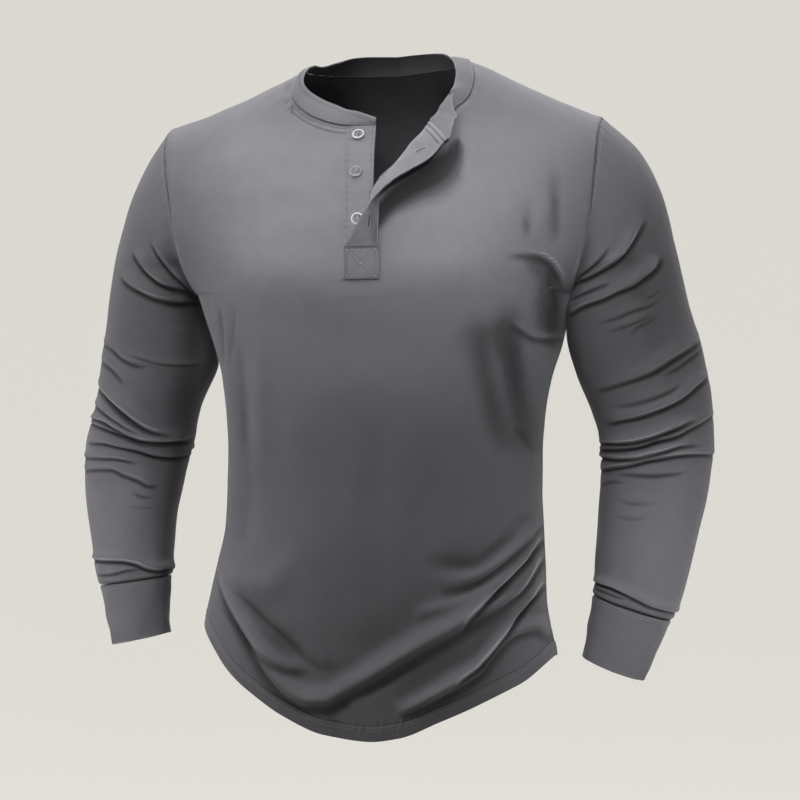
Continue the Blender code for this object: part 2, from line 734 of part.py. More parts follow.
def flap_points():
    """Grid of the upper strip: a row for each height, from its seam to its free edge."""
    top = flap_seam_points(BAND_ACROSS + 1)
    lines = []
    for part, end in zip(("seam", "middle", "edge"), top[::BAND_ACROSS // 2]):
        places = line_of(FLAP, part + "_x", part + "_z", part + "_out")
        lines.append([off_body(*place) for place in places] + [end])
    knots = np.arange(float(len(lines[0])))
    at = np.linspace(0, knots[-1], FLAP_ROWS + 1)
    seam, middle, edge = np.array([[curve(knots, c, at) for c in np.transpose(line)] for line in lines])
    t = np.linspace(0, 1, BAND_ACROSS + 1)[:, None]
    rows = [(2 * t - 1) * (t - 1) * a + 4 * t * (1 - t) * b + t * (2 * t - 1) * c
            for a, b, c in zip(seam.T, middle.T, edge.T)]
    rows[-1] = top
    return np.array(rows)


def strip_on_front(name, faces, heights, rights, lefts, thick):
    """Strip of cloth that lies on the front."""
    layers = []
    for out in (LIFT + thick, LIFT):
        layers.append([[lay_on(faces, x, z, out) for x in np.linspace(right, left, STRIP_COLUMNS + 1)]
                       for z, right, left in zip(heights, rights, lefts)])
    return cloth(name, *np.array(layers))


def button(name, faces, x, z):
    """Turned button with a raised rim, flat on the lower strip."""
    seat = lay_on(faces, x, z, LIFT + STRIP + SEAM)
    span = BUTTON_RADIUS / 2
    up = lay_on(faces, x, z + span, 0) - lay_on(faces, x, z - span, 0)
    across = lay_on(faces, x + span, z, 0) - lay_on(faces, x - span, z, 0)
    normal = Vector(np.cross(across, up)).normalized()
    mesh = bmesh.new()
    profile = zip(BUTTON_PROFILE["out"] * BUTTON_RADIUS, BUTTON_PROFILE["up"] * BUTTON_THICK)
    verts = [mesh.verts.new((out, 0, height)) for out, height in profile]
    edges = [mesh.edges.new(pair) for pair in zip(verts, verts[1:])]
    bmesh.ops.spin(mesh, geom=verts + edges, axis=(0, 0, 1), cent=(0, 0, 0), angle=2 * math.pi,
                   steps=BUTTON_SIDES, use_merge=True)
    bmesh.ops.remove_doubles(mesh, verts=mesh.verts, dist=MERGE)
    piece = add_piece(name, mesh, finish(name, GREY_HORN, POLISHED))
    turned = normal.to_track_quat("Z", "Y").to_matrix().to_4x4()
    piece.matrix_world = Matrix.Translation(Vector(seat) + normal * BUTTON_SEAT) @ turned
    return piece


def wall_normals(points, side):
    """Outward normals of a panel, shared with its neighbours along the seams."""
    normal = grid_normals(points) * (1 if side == "front" else -1)
    normal[:, [0, -1], 1] *= (np.arange(len(normal)) > SKIRT_ROWS)[:, None]
    normal[-1, :, 1] = 0
    return unit(normal)


def folded_panel(side, folds):
    """Points and normals of the front or back with its folds, which end at the seams."""
    points = panel_points(side)
    hold = 1 - np.abs(column_positions()) ** SEAM_HOLD
    lift = fold_lift(points[..., 0], points[..., 2], folds) * hold
    points += wall_normals(points, side) * lift[..., None]
    return points, wall_normals(points, side)


def tube_normals(points):
    """Outward normals of a tube."""
    normal = grid_normals(points, closed=True)
    outward = points - points.mean(1, keepdims=True)
    return normal if np.sum(normal * outward) > 0 else -normal


def folded_sleeve(section, loop, armhole, folds):
    """Points and normals of a sleeve with its folds, which end at its two seams."""
    rows = np.linspace(0, 1, SLEEVE_ROWS + 1)[:, None]
    points = tube_points(section, rows[:, 0], loop)
    normal = tube_normals(points)
    inner_side = np.maximum(0, -np.cos(round_angles()))
    near_armpit = 1 - np.clip(rows / ARMPIT_HOLD, 0, 1)
    at_seams = np.abs(2 * rows - 1) ** (2 * SEAM_HOLD)
    hold = (1 - near_armpit * inner_side) * (1 - at_seams)
    lift = fold_lift(points[..., 0], points[..., 2], folds) * hold
    points += normal * lift[..., None]
    normal = tube_normals(points)
    normal[0] = armhole
    return points, unit(normal)


def build_body(front, front_normal, back, back_normal):
    """Front with its slit and neck opening, and back."""
    edges = dict(rows=[(-1, -1)], columns=[(0, 1), (-1, -1)])
    shell = draw_in(front, **edges)
    cloth("front", shell, shell - front_normal * CLOTH,
          keep=lambda r, c: r < MIDDLE_ROW or not SLIT <= c < NECK_LEFT)
    shell = draw_in(back, **edges)
    cloth("back", shell, shell - back_normal * CLOTH)


def build_sleeve(side, section, cuff, folds, loop, armhole):
    """Sleeve from its armhole, and the cuff sewn to it."""
    points, normal = folded_sleeve(section, loop, armhole, folds)
    shell = draw_in(points, rows=[(0, 1), (-1, -1)])
    cloth("sleeve_" + side, shell, shell - normal * CLOTH, closed=True)
    shell = tube_points(cuff, np.linspace(0, 1, CUFF_ROWS + 1))
    cloth("cuff_" + side, shell, shell - tube_normals(shell) * DOUBLED, closed=True)


def build_neck(front, back):
    """Neckband, and the upper strip of the placket turned outwards."""
    band = draw_in(neckband_points(front, back), columns=[(0, 1)])
    cloth("neckband", band, band + grid_normals(band) * STRIP)
    flap = draw_in(flap_points(), rows=[(-1, -1)])
    cloth("placket_buttonhole", flap, flap + grid_normals(flap) * STRIP)


def build_placket(front):
    """Lower strip, box and buttons, laid on the front."""
    faces = facets(front)
    low, *_, high = UNDER_STRIP["z"]
    heights = np.linspace(low, high, STRIP_ROWS + 1)
    rights = curve(UNDER_STRIP["z"], UNDER_STRIP["right"], heights)
    lefts = curve(UNDER_STRIP["z"], UNDER_STRIP["left"], heights)
    strip_on_front("placket_button", faces, heights, rights, lefts, STRIP)
    heights = np.linspace(BOX["low"], BOX["high"], BOX_ROWS + 1)
    rights = np.full_like(heights, BOX["right"])
    lefts = np.full_like(heights, BOX["left"])
    strip_on_front("placket_box", faces, heights, rights, lefts, BOX["thick"])
    for name, (x, z) in BUTTONS.items():
        button(name, faces, x, z)


def build():
    """The whole shirt."""
    front, front_normal = folded_panel("front", FRONT_FOLDS)
    back, back_normal = folded_panel("back", BACK_FOLDS)
    build_body(front, front_normal, back, back_normal)
    for side, section, cuff, folds in (
            ("left", SLEEVE_LEFT, CUFF_LEFT, SLEEVE_LEFT_FOLDS),
            ("right", SLEEVE_RIGHT, CUFF_RIGHT, SLEEVE_RIGHT_FOLDS)):
        loop = armhole_ring(front, back, side == "left")
        armhole = armhole_ring(front_normal, back_normal, side == "left")
        build_sleeve(side, section, cuff, folds, loop, armhole)
    build_neck(front, back)
    build_placket(front)


for leftover in list(bpy.data.objects):
    bpy.data.objects.remove(leftover, do_unlink=True)
build()
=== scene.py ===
"""Long-sleeved henley shirt in plain grey jersey. It keeps the shape of a wearer who isn't there."""
import math

import bmesh
import bpy
import numpy as np
from mathutils import Matrix, Vector


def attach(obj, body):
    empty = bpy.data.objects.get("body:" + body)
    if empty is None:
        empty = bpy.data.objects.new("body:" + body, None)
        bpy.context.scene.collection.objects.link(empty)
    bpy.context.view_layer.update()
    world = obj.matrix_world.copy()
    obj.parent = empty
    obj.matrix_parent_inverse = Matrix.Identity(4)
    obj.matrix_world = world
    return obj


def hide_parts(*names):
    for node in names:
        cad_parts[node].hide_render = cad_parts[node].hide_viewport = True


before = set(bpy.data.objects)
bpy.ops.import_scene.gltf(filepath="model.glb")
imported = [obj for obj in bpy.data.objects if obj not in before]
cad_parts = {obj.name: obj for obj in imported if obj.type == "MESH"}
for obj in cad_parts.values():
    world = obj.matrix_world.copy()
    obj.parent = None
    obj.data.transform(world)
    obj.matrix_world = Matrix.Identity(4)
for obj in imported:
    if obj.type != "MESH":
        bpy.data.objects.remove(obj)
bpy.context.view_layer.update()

MM = 0.001


def table(columns, rows):
    """A small table: the numbers of each named column."""
    return dict(zip(columns.split(), np.array(rows, float).T))


def line_of(section, *columns):
    """Points made from the named columns of a table."""
    return np.stack([section[column] for column in columns], -1)


def folds(text):
    """Folds by kind and name, in metres, from text: kind; name: point, point; name: ..."""
    found = {}
    for entry in text.split(";"):
        name, _, points = (part.strip() for part in entry.partition(":"))
        if points:
            found[kind][name] = np.array([point.split() for point in points.split(",")], float) * MM
        else:
            kind = name
            found[kind] = {}
    return found


# ---------------------------------------------------------------- form of the shirt, metres

# Levels
ARMPIT = -0.247
SHOULDER_TIP = -0.059
SHOULDER_ROLL = 0.10
SHOULDER_RIDGE = 0.004
ROLL_POWER = 2.2

# Horizontal sections of the body: reach to each side, depth to front and back
BODY = table("height right left front back", [
    (-0.760, 0.2110, 0.1910, 0.124, 0.134),
    (-0.680, 0.2095, 0.1905, 0.126, 0.131),
    (-0.640, 0.2065, 0.1885, 0.126, 0.127),
    (-0.610, 0.2020, 0.1820, 0.125, 0.122),
    (-0.580, 0.1965, 0.1775, 0.122, 0.116),
    (-0.540, 0.1880, 0.1760, 0.118, 0.108),
    (-0.500, 0.1790, 0.1745, 0.114, 0.102),
    (-0.460, 0.1765, 0.1725, 0.111, 0.098),
    (-0.420, 0.1760, 0.1730, 0.110, 0.096),
    (-0.380, 0.1775, 0.1760, 0.112, 0.099),
    (-0.340, 0.1825, 0.1825, 0.117, 0.106),
    (-0.300, 0.1925, 0.1955, 0.124, 0.114),
    (-0.260, 0.2050, 0.2040, 0.131, 0.121),
    (-0.247, 0.2090, 0.2085, 0.133, 0.123),
    (-0.220, 0.2155, 0.2190, 0.135, 0.126),
    (-0.190, 0.2205, 0.2285, 0.135, 0.127),
    (-0.150, 0.2255, 0.2360, 0.127, 0.124),
    (-0.110, 0.2330, 0.2390, 0.109, 0.117),
    (-0.060, 0.2405, 0.2400, 0.076, 0.100),
    (0.040, 0.2405, 0.2400, 0.046, 0.064),
])
FULLNESS = 2.3
SIDE_POWER = 0.47
ARM_POWER = 0.85
ARMHOLE_REACH = 14
ARMHOLE_DEPTH = {"front": 0.074, "back": 0.078}

# Height of the shoulder line, and of its course inside the neck opening
SHOULDER = table("reach right left", [
    (0.000, 0.040, 0.042),
    (0.050, 0.026, 0.030),
    (0.080, 0.007, 0.013),
    (0.092, 0.000, 0.008),
    (0.110, -0.0085, 0.001),
    (0.140, -0.0225, -0.0140),
    (0.170, -0.0360, -0.0285),
    (0.200, -0.0475, -0.0420),
    (0.240, -0.0600, -0.0580),
    (0.260, -0.0660, -0.0640),
])

# Hem heights across each panel, from the wearer's right seam to the left
HEM = table("across front back", [
    (-1.00, -0.606, -0.606),
    (-0.87, -0.630, -0.634),
    (-0.76, -0.652, -0.659),
    (-0.60, -0.676, -0.690),
    (-0.42, -0.698, -0.713),
    (-0.20, -0.716, -0.728),
    (0.04, -0.722, -0.732),
    (0.20, -0.718, -0.725),
    (0.42, -0.701, -0.703),
    (0.60, -0.686, -0.686),
    (0.76, -0.671, -0.668),
    (0.87, -0.660, -0.656),
    (1.00, -0.639, -0.640),
])

# Neck seam on the wearer's right, from the shoulder seam to the slit
NECK_SEAM = table("x z", [
    (-0.0920, 0.0000),
    (-0.0955, -0.0180),
    (-0.0915, -0.0350),
    (-0.0790, -0.0500),
    (-0.0550, -0.0630),
    (-0.0286, -0.0694),
    (0.0057, -0.0706),
])
# Edge on the wearer's left where the cloth rolls outwards, from the slit up
ROLL_EDGE = table("x z", [
    (0.0116, -0.1430),
    (0.0345, -0.1160),
    (0.0515, -0.0900),
    (0.0640, -0.0680),
])
# Neck seam on the wearer's left, from its lowest point to the shoulder seam
NECK_SEAM_LEFT = table("x z", [
    (0.0883, -0.0523),
    (0.1015, -0.0380),
    (0.1045, -0.0210),
    (0.1000, -0.0030),
    (0.0920, 0.0080),
])
NECK_REACH = 0.092
BACK_NECK_RISE = 0.002

# Sleeve sections from the armhole to the cuff seam
SLEEVE_LEFT = table("outer_x outer_z inner_x inner_z centre_y half_depth", [
    (0.2788, -0.0949, 0.2095, -0.2515, 0.004, 0.074),
    (0.3044, -0.1469, 0.2020, -0.2600, 0.006, 0.073),
    (0.3180, -0.2030, 0.1978, -0.2750, 0.010, 0.071),
    (0.3285, -0.2505, 0.1985, -0.2930, 0.015, 0.068),
    (0.3465, -0.3154, 0.2085, -0.3357, 0.020, 0.064),
    (0.3555, -0.3673, 0.2255, -0.3761, 0.022, 0.061),
    (0.3570, -0.4063, 0.2345, -0.4088, 0.022, 0.058),
    (0.3540, -0.4452, 0.2359, -0.4393, 0.018, 0.056),
    (0.3440, -0.4969, 0.2335, -0.4893, 0.008, 0.052),
    (0.3320, -0.5485, 0.2315, -0.5368, -0.004, 0.046),
    (0.3215, -0.5860, 0.2320, -0.5600, -0.012, 0.040),
    (0.3150, -0.5978, 0.2305, -0.5711, -0.015, 0.036),
])
SLEEVE_RIGHT = table("outer_x outer_z inner_x inner_z centre_y half_depth", [
    (-0.2690, -0.0985, -0.2110, -0.2515, 0.004, 0.074),
    (-0.2920, -0.1500, -0.2100, -0.2600, 0.006, 0.073),
    (-0.3085, -0.2025, -0.2070, -0.2755, 0.010, 0.071),
    (-0.3185, -0.2520, -0.2007, -0.2985, 0.015, 0.068),
    (-0.3290, -0.3131, -0.1980, -0.3205, 0.020, 0.064),
    (-0.3390, -0.3744, -0.2200, -0.3743, 0.022, 0.061),
    (-0.3490, -0.4142, -0.2290, -0.4171, 0.022, 0.058),
    (-0.3495, -0.4494, -0.2360, -0.4487, 0.018, 0.056),
    (-0.3415, -0.4950, -0.2425, -0.4920, 0.008, 0.052),
    (-0.3330, -0.5330, -0.2430, -0.5300, -0.003, 0.046),
    (-0.3275, -0.5560, -0.2415, -0.5490, -0.010, 0.040),
    (-0.3230, -0.5692, -0.2415, -0.5569, -0.013, 0.036),
])

CUFF_LEFT = table("outer_x outer_z inner_x inner_z centre_y half_depth", [
    (0.3140, -0.5985, 0.2312, -0.5720, -0.015, 0.035),
    (0.2985, -0.6340, 0.2250, -0.6090, -0.022, 0.032),
    (0.2862, -0.6620, 0.2210, -0.6375, -0.028, 0.030),
])
CUFF_RIGHT = table("outer_x outer_z inner_x inner_z centre_y half_depth", [
    (-0.3222, -0.5700, -0.2422, -0.5577, -0.013, 0.035),
    (-0.3130, -0.6040, -0.2420, -0.5910, -0.020, 0.032),
    (-0.3040, -0.6345, -0.2400, -0.6205, -0.026, 0.030),
])
# Neckband: rise above the seam and lean towards the middle of the neck, from
# its wearer's-right end (0) round the back (10) to the foot of the left seam (20)
BAND = table("station inward up", [
    (0, 0.001, 0.0080),
    (1, 0.007, 0.0160),
    (2, 0.016, 0.0180),
    (3, 0.018, 0.0150),
    (4, 0.012, 0.0110),
    (5, 0.012, 0.0060),
    (6, 0.011, 0.0125),
    (7, 0.008, 0.0190),
    (8, 0.005, 0.0205),
    (10, 0.003, 0.0202),
    (12, 0.004, 0.0185),
    (13, 0.008, 0.0155),
    (14, 0.014, 0.0095),
    (15, 0.020, 0.0035),
    (17, 0.021, 0.0080),
    (18, 0.020, 0.0110),
])
# Stretch of the neckband that is turned outwards: fold and free edge, with the
# distance in front of the body, down to its end at the corner of the flap
BAND_TURN = table("station fold_x fold_z fold_out edge_x edge_z edge_out", [
    (19, 0.0838, -0.0330, 0.0030, 0.0858, -0.0360, 0.0050),
    (20, 0.0757, -0.0450, 0.0040, 0.0895, -0.0520, 0.0110),
    (21, 0.0690, -0.0610, 0.0060, 0.0910, -0.0660, 0.0150),
    (23, 0.0825, -0.0765, 0.0140, 0.0905, -0.0785, 0.0165),
    (25, 0.0872, -0.0880, 0.0152, 0.0892, -0.0872, 0.0160),
])
# Seam of neckband and upper strip across the turned-out flap
FLAP_SEAM = table("x z out", [
    (0.0636, -0.0676, 0.0014),
    (0.0745, -0.0765, 0.0105),
    (0.0858, -0.0886, 0.0145),
])
# Upper strip from the box up: its seam, its middle and its free edge
FLAP = table("seam_x seam_z seam_out middle_x middle_z middle_out edge_x edge_z edge_out", [
    (0.0205, -0.2024, 0.0046, 0.0012, -0.2024, 0.0052, -0.0166, -0.2024, 0.0046),
    (0.0200, -0.1870, 0.0042, 0.0080, -0.1870, 0.0120, -0.0048, -0.1867, 0.0140),
    (0.0195, -0.1700, 0.0036, 0.0125, -0.1710, 0.0160, 0.0040, -0.1718, 0.0200),
    (0.0185, -0.1480, 0.0030, 0.0140, -0.1475, 0.0150, 0.0236, -0.1465, 0.0240),
    (0.0232, -0.1310, 0.0026, 0.0225, -0.1305, 0.0130, 0.0362, -0.1338, 0.0220),
    (0.0355, -0.1165, 0.0026, 0.0365, -0.1155, 0.0120, 0.0480, -0.1255, 0.0200),
    (0.0523, -0.0905, 0.0026, 0.0560, -0.0895, 0.0110, 0.0736, -0.1085, 0.0170),
])
# Lower strip, box and buttons, on the front
UNDER_STRIP = table("z right left", [
    (-0.2018, -0.0166, 0.0114),
    (-0.1430, -0.0195, 0.0110),
    (-0.0712, -0.0257, 0.0053),
])
BOX = dict(right=-0.0166, left=0.0205, low=-0.2363, high=-0.2029, thick=0.0030)
BOX_INSET = 0.0025
BOX_CROSS = 0.024
BUTTONS = {
    "button_top": (-0.0117, -0.0822),
    "button_middle": (-0.0085, -0.1239),
    "button_bottom": (-0.0035, -0.1741),
}
BUTTON_RADIUS = 0.0067

# ---------------------------------------------------------------- fineness of the cloth grids

SIDE_COLUMNS = 54
NECK_COLUMNS = 35
SLIT = SIDE_COLUMNS + NECK_COLUMNS
NECK_LEFT = SLIT + NECK_COLUMNS
SKIRT_ROWS = 180
SKIRT_SPACING = 1.2
CHEST_ROWS = 35
ARMPIT_ROWS = 12
YOKE_ROWS = 35
MIDDLE_ROW = SKIRT_ROWS + CHEST_ROWS
SIDE_PULL = 0.4
SLEEVE_ROWS = 310
CUFF_ROWS = 36
STATION = 7
BAND_ACROSS = 28
FLAP_ROWS = 84
FLAP_FOOT_ROWS = 26
FLAP_FOOT_EASE = 14
STRIP_ROWS = 60
STRIP_COLUMNS = 14

# ---------------------------------------------------------------- folds, seen from the front

# Each point: across, up, depth and width in mm. A roll has its crest above the line, seen
# along its course, and its trough below it.
# Folds of the kind shadows have no height: their depth only sets painted shade, such as the shadow the
# flap casts on the chest and the shade in armpits, sides and sleeves
FRONT_FOLDS = folds("""
rolls;
  hip_second: 103 -607 0 5, 108 -597 3 5, 121 -581 5 5, 135 -566 6 5, 149 -551 6.5 4.5, 162 -536 7 4.5,
    174 -516 7 4.5;
  hip_third: 144 -579 0 4, 158 -568 2.5 4, 168 -553 4 4, 175 -537 5 4;
  hip_sharp: 94 -665 0 4, 104 -655 4 4, 117 -645 5 4, 131 -629 5.5 4, 142 -613 6 4, 154 -597 6.5 4,
    165 -583 6.5 4, 176 -564 6 4;
  armpit_hook: 148 -213 0 7, 162 -210 1.4 7, 179 -211 2.6 7, 191 -217 3.4 7, 199 -229 3 7,
    203 -243 1.2 6, 204 -256 0 6;
  armpit_under: 150 -280 0 6, 162 -289 1.6 6, 173 -296 2 6, 186 -298 2 6, 196 -296 1.6 6;
hollows;
  armpit_hollow: 178 -224 4 9, 188 -238 8 11, 191 -258 9 12, 190 -280 7 11, 190 -300 3 9;
  side_first: 112 -258 0 14, 117 -280 1.2 14, 121 -305 2.6 14, 124 -335 3.6 13, 131 -375 3.5 12,
    142 -425 0 12;
  side_second: 143 -262 0 10, 147 -288 1.6 10, 151 -318 3.4 10, 157 -358 3.8 11, 165 -392 3 10,
    170 -425 0 9;
  chest_first: 171 -138 0 6, 172 -160 1 6, 171 -182 2 6, 168 -200 0 6;
  chest_second: 196 -110 0 9, 198 -145 2 9, 197 -175 2 9, 193 -205 0 8;
  side_right: -143 -290 0 8, -143 -330 2 8, -143 -380 2 8, -144 -440 0 8;
shadows;
  under_chest: 40 -300 0 24, 80 -297 0.12 26, 110 -291 0.3 24, 135 -283 0.35 20, 150 -276 0.2 14;
  side_left: 158 -271 0.35 16, 158 -311 0.8 20, 157 -364 0.6 20, 161 -406 0.4 18, 166 -440 0 16;
  side_right: -131 -342 0 16, -134 -396 0.3 18, -134 -450 0.3 18, -139 -504 0.3 16, -142 -530 0 14;
  armpit: 197 -235 0 10, 196 -262 1 14, 196 -285 1.2 13, 194 -302 0.4 8;
  under_flap: -2 -196 2 4, 10 -182 4 6, 22 -157 7 11, 45 -133 9 17, 68 -117 9 21, 82 -106 9 18,
    90 -98 9 9, 92 -86 2 3;
swags;
  hip_upper: 78 -563 0 9, 96 -561 2.5 8, 114 -555 5 6.5, 130 -545 6.5 5.5, 154 -524 7.5 5, 165 -512 8 5,
    174 -500 8 5;
  belly_right: -35 -684 0 9, -18 -675 4 9, 11 -660 7 9, 40 -642 8 9, 71 -623 8 9, 96 -609 8 9,
    121 -593 8 8, 138 -583 7 7, 151 -575 3 6, 162 -566 0 6;
  belly_left: -168 -565 0 8, -152 -592 3 8, -133 -617 5 9, -117 -641 7 9, -100 -663 8 9, -81 -679 8 9,
    -59 -687 8 9, -40 -687 7 9, -26 -682 4 9;
  hem_left: 38 -697 0 6, 56 -688 6 6, 77 -677 9 6.5, 97 -666 10 7, 112 -657 10 7, 124 -648 9 6.5,
    131 -638 8 6, 139 -627 8 6, 148 -617 8 6, 159 -611 8 6, 171 -609 8 6.5, 185 -618 6 7;
  hip_right_sharp: -185 -540 0 4, -168 -570 3 5, -140 -605 5 5, -112 -635 5 6, -79 -651 3 7,
    -60 -652 0 7;
ridges;
  side_fine: 163 -284 0 3, 168 -303 2.5 3, 175 -322 2 3, 181 -346 0 3;
  side_between: 130 -290 0 6, 136 -327 2 6, 143 -369 2 6, 150 -406 0 6;
  chest_between: 186 -140 0 6, 185 -170 2.5 6, 181 -204 0 6;
  side_right_bright: -120 -285 0 9, -122 -340 2 9, -122 -390 2 9, -123 -445 0 9;
  hip_right_soft: -171 -545 0 12, -143 -555 5 13, -114 -558 5 14, -88 -539 3 13, -77 -512 0 12;
  hip_left_soft: 52 -588 0 6, 71 -584 4 6, 91 -578 5 6, 115 -567 4.5 6, 135 -554 3 6, 149 -542 0 6;
  drape_a: -75 -342 0 14, -84 -417 1 14, -85 -491 0 14;
  drape_b: -14 -406 0 12, -16 -469 0.8 12, -2 -532 0 12;
  shoulder_a: -126 -51 0 2.5, -113 -39 0.6 2.5, -98 -25 0.5 2.5, -91 -18 0 2.5;
  shoulder_b: -114 -70 0 2.5, -102 -51 0.6 2.5, -88 -37 0.5 2.5;
  shoulder_c: -144 -41 0 2.5, -124 -30 0.5 2.5, -104 -14 0.4 2.5;
grooves;
  side_notch: 150 -388 0 4, 160 -402 3 4, 170 -424 0 4;
  belly_line: -153 -567 0 3, -135 -580 1.5 3, -113 -597 2.5 3, -91 -613 3 4, -77 -624 2 5,
    -62 -638 1.5 6, -43 -646 1 7, -18 -645 0.8 8, 0 -631 0 8;
  side_a: -182 -572 0 3, -163 -593 1.5 3, -145 -611 2 3, -136 -623 1.5 3, -129 -636 0 3;
  side_b: -140 -608 0 3, -132 -626 1.5 3, -127 -643 0 3;
  hollow_left: 59 -532 0 12, 90 -535 2.5 12, 115 -537 2.5 10, 139 -520 2 9, 157 -504 0 8;
  armpit_drop: 188 -225 0 4, 192 -239 3 4, 195 -257 3 4, 195 -278 1 5, 192 -299 0 5;
  armhole_dent: 197 -144 0 4, 201 -159 1.5 4, 201 -183 1.5 4, 197 -201 0 4;
  dent: 165 -171 0 4, 171 -180 1.5 4, 174 -192 0 4;
  rib_left: 161 -284 0 4, 170 -303 1.5 4, 177 -321 0 4;
  rib_right_a: -166 -256 0 3, -167 -282 2 3, -169 -309 2 3, -172 -333 0 3;
  rib_right_b: -143 -256 0 4, -150 -283 1.5 4, -158 -312 1.2 4, -167 -336 0 4;
  hem_middle: -39 -677 0 9, -35 -690 1 9, -30 -702 1.2 9, -27 -715 0.8 9
""")
SLEEVE_RIGHT_FOLDS = folds("""
shadows;
  upper: -206 -222 0.9 10, -218 -215 0.8 11, -241 -219 0.5 11, -268 -212 0.25 10, -285 -205 0 10;
  inner: -206 -225 0.5 14, -209 -247 0.7 16, -208 -286 0.7 16, -214 -330 0.65 16, -225 -375 0.5 14,
    -236 -415 0 12;
  elbow: -320 -386 0 8, -309 -391 0.3 8, -281 -405 0.5 8, -251 -419 0.5 8, -230 -420 0.4 8;
rolls;
  armpit_a: -249 -189 0 3, -242 -202 2.5 3, -233 -216 3.5 3, -221 -233 4 3.5, -211 -246 4 4;
  armpit_b: -271 -201 0 4, -264 -212 3 4, -252 -226 4 4, -237 -237 4.5 4, -218 -243 4 4, -211 -250 4 4;
  armpit_c: -289 -226 0 5, -280 -235 2.5 5, -266 -243 3.5 5, -245 -252 4 5, -222 -256 3.5 5,
    -211 -254 3 5;
  upper_a: -322 -300 1.5 4, -304 -307 2 4, -290 -317 2.5 4, -275 -324 2 4, -259 -327 0 4;
  upper_b: -287 -310 0 3, -267 -317 1 3, -245 -323 1.2 3, -221 -325 1.2 3, -204 -322 0 3;
  upper_c: -324 -319 1.5 5, -307 -327 2 5, -293 -339 1.5 5, -285 -348 0 5;
  elbow_a: -330 -347 3 5, -314 -358 4 5, -297 -371 5 5, -279 -385 5 5, -264 -395 4 5, -250 -400 2 5,
    -239 -402 0 5;
  elbow_b: -334 -368 2 3, -315 -377 3 3, -298 -386 3 3, -283 -395 2.5 3, -270 -401 0 3;
  elbow_c: -338 -384 3 3, -316 -387 4 3, -298 -395 4.5 3.5, -281 -403 5 4, -264 -409 6 4.5,
    -246 -410 6 5, -231 -409 6 5, -224 -405 5 5;
  elbow_d: -339 -388 3 3, -320 -393 4 3, -300 -399 4 3, -281 -406 3 3, -268 -411 0 3;
  elbow_e: -340 -411 0 3, -319 -411 3 3, -296 -415 3.5 3, -275 -419 4 3.5, -256 -425 4.5 4,
    -241 -427 4.5 4, -230 -425 4 4;
  elbow_f: -343 -428 3 3, -321 -428 3 3, -303 -428 3 3, -288 -430 2.5 3, -273 -434 0 3;
  fore_a: -341 -442 2.5 3.5, -321 -440 2.5 3.5, -305 -440 2.5 3.5, -289 -446 2.5 4, -273 -452 2.5 4,
    -261 -458 2 4, -252 -457 0 4;
  fore_b: -281 -463 0 4, -268 -469 1.5 4, -257 -470 0 4;
  fore_c: -291 -480 0 3, -270 -481 0.8 3, -248 -482 0 3;
  cuff_lip: -325 -541 4 3.5, -306 -541 4.5 3.5, -289 -541 4 3.5, -273 -544 3.5 3.5, -259 -550 3.5 3,
    -248 -552 4 3, -243 -551 4 3;
  cuff_low: -318 -557 2 3, -299 -555 2.5 3, -280 -550 2 3, -265 -549 0 3;
ridges;
  fine_a: -281 -286 0 2.5, -243 -284 0.5 2.5, -215 -284 0.5 2.5, -206 -283 0 2.5;
  fine_b: -283 -275 0 2.5, -253 -275 0.4 2.5, -227 -273 0 2.5;
  fine_c: -281 -293 0 2.5, -264 -294 0.5 2.5, -243 -292 0 2.5
""")
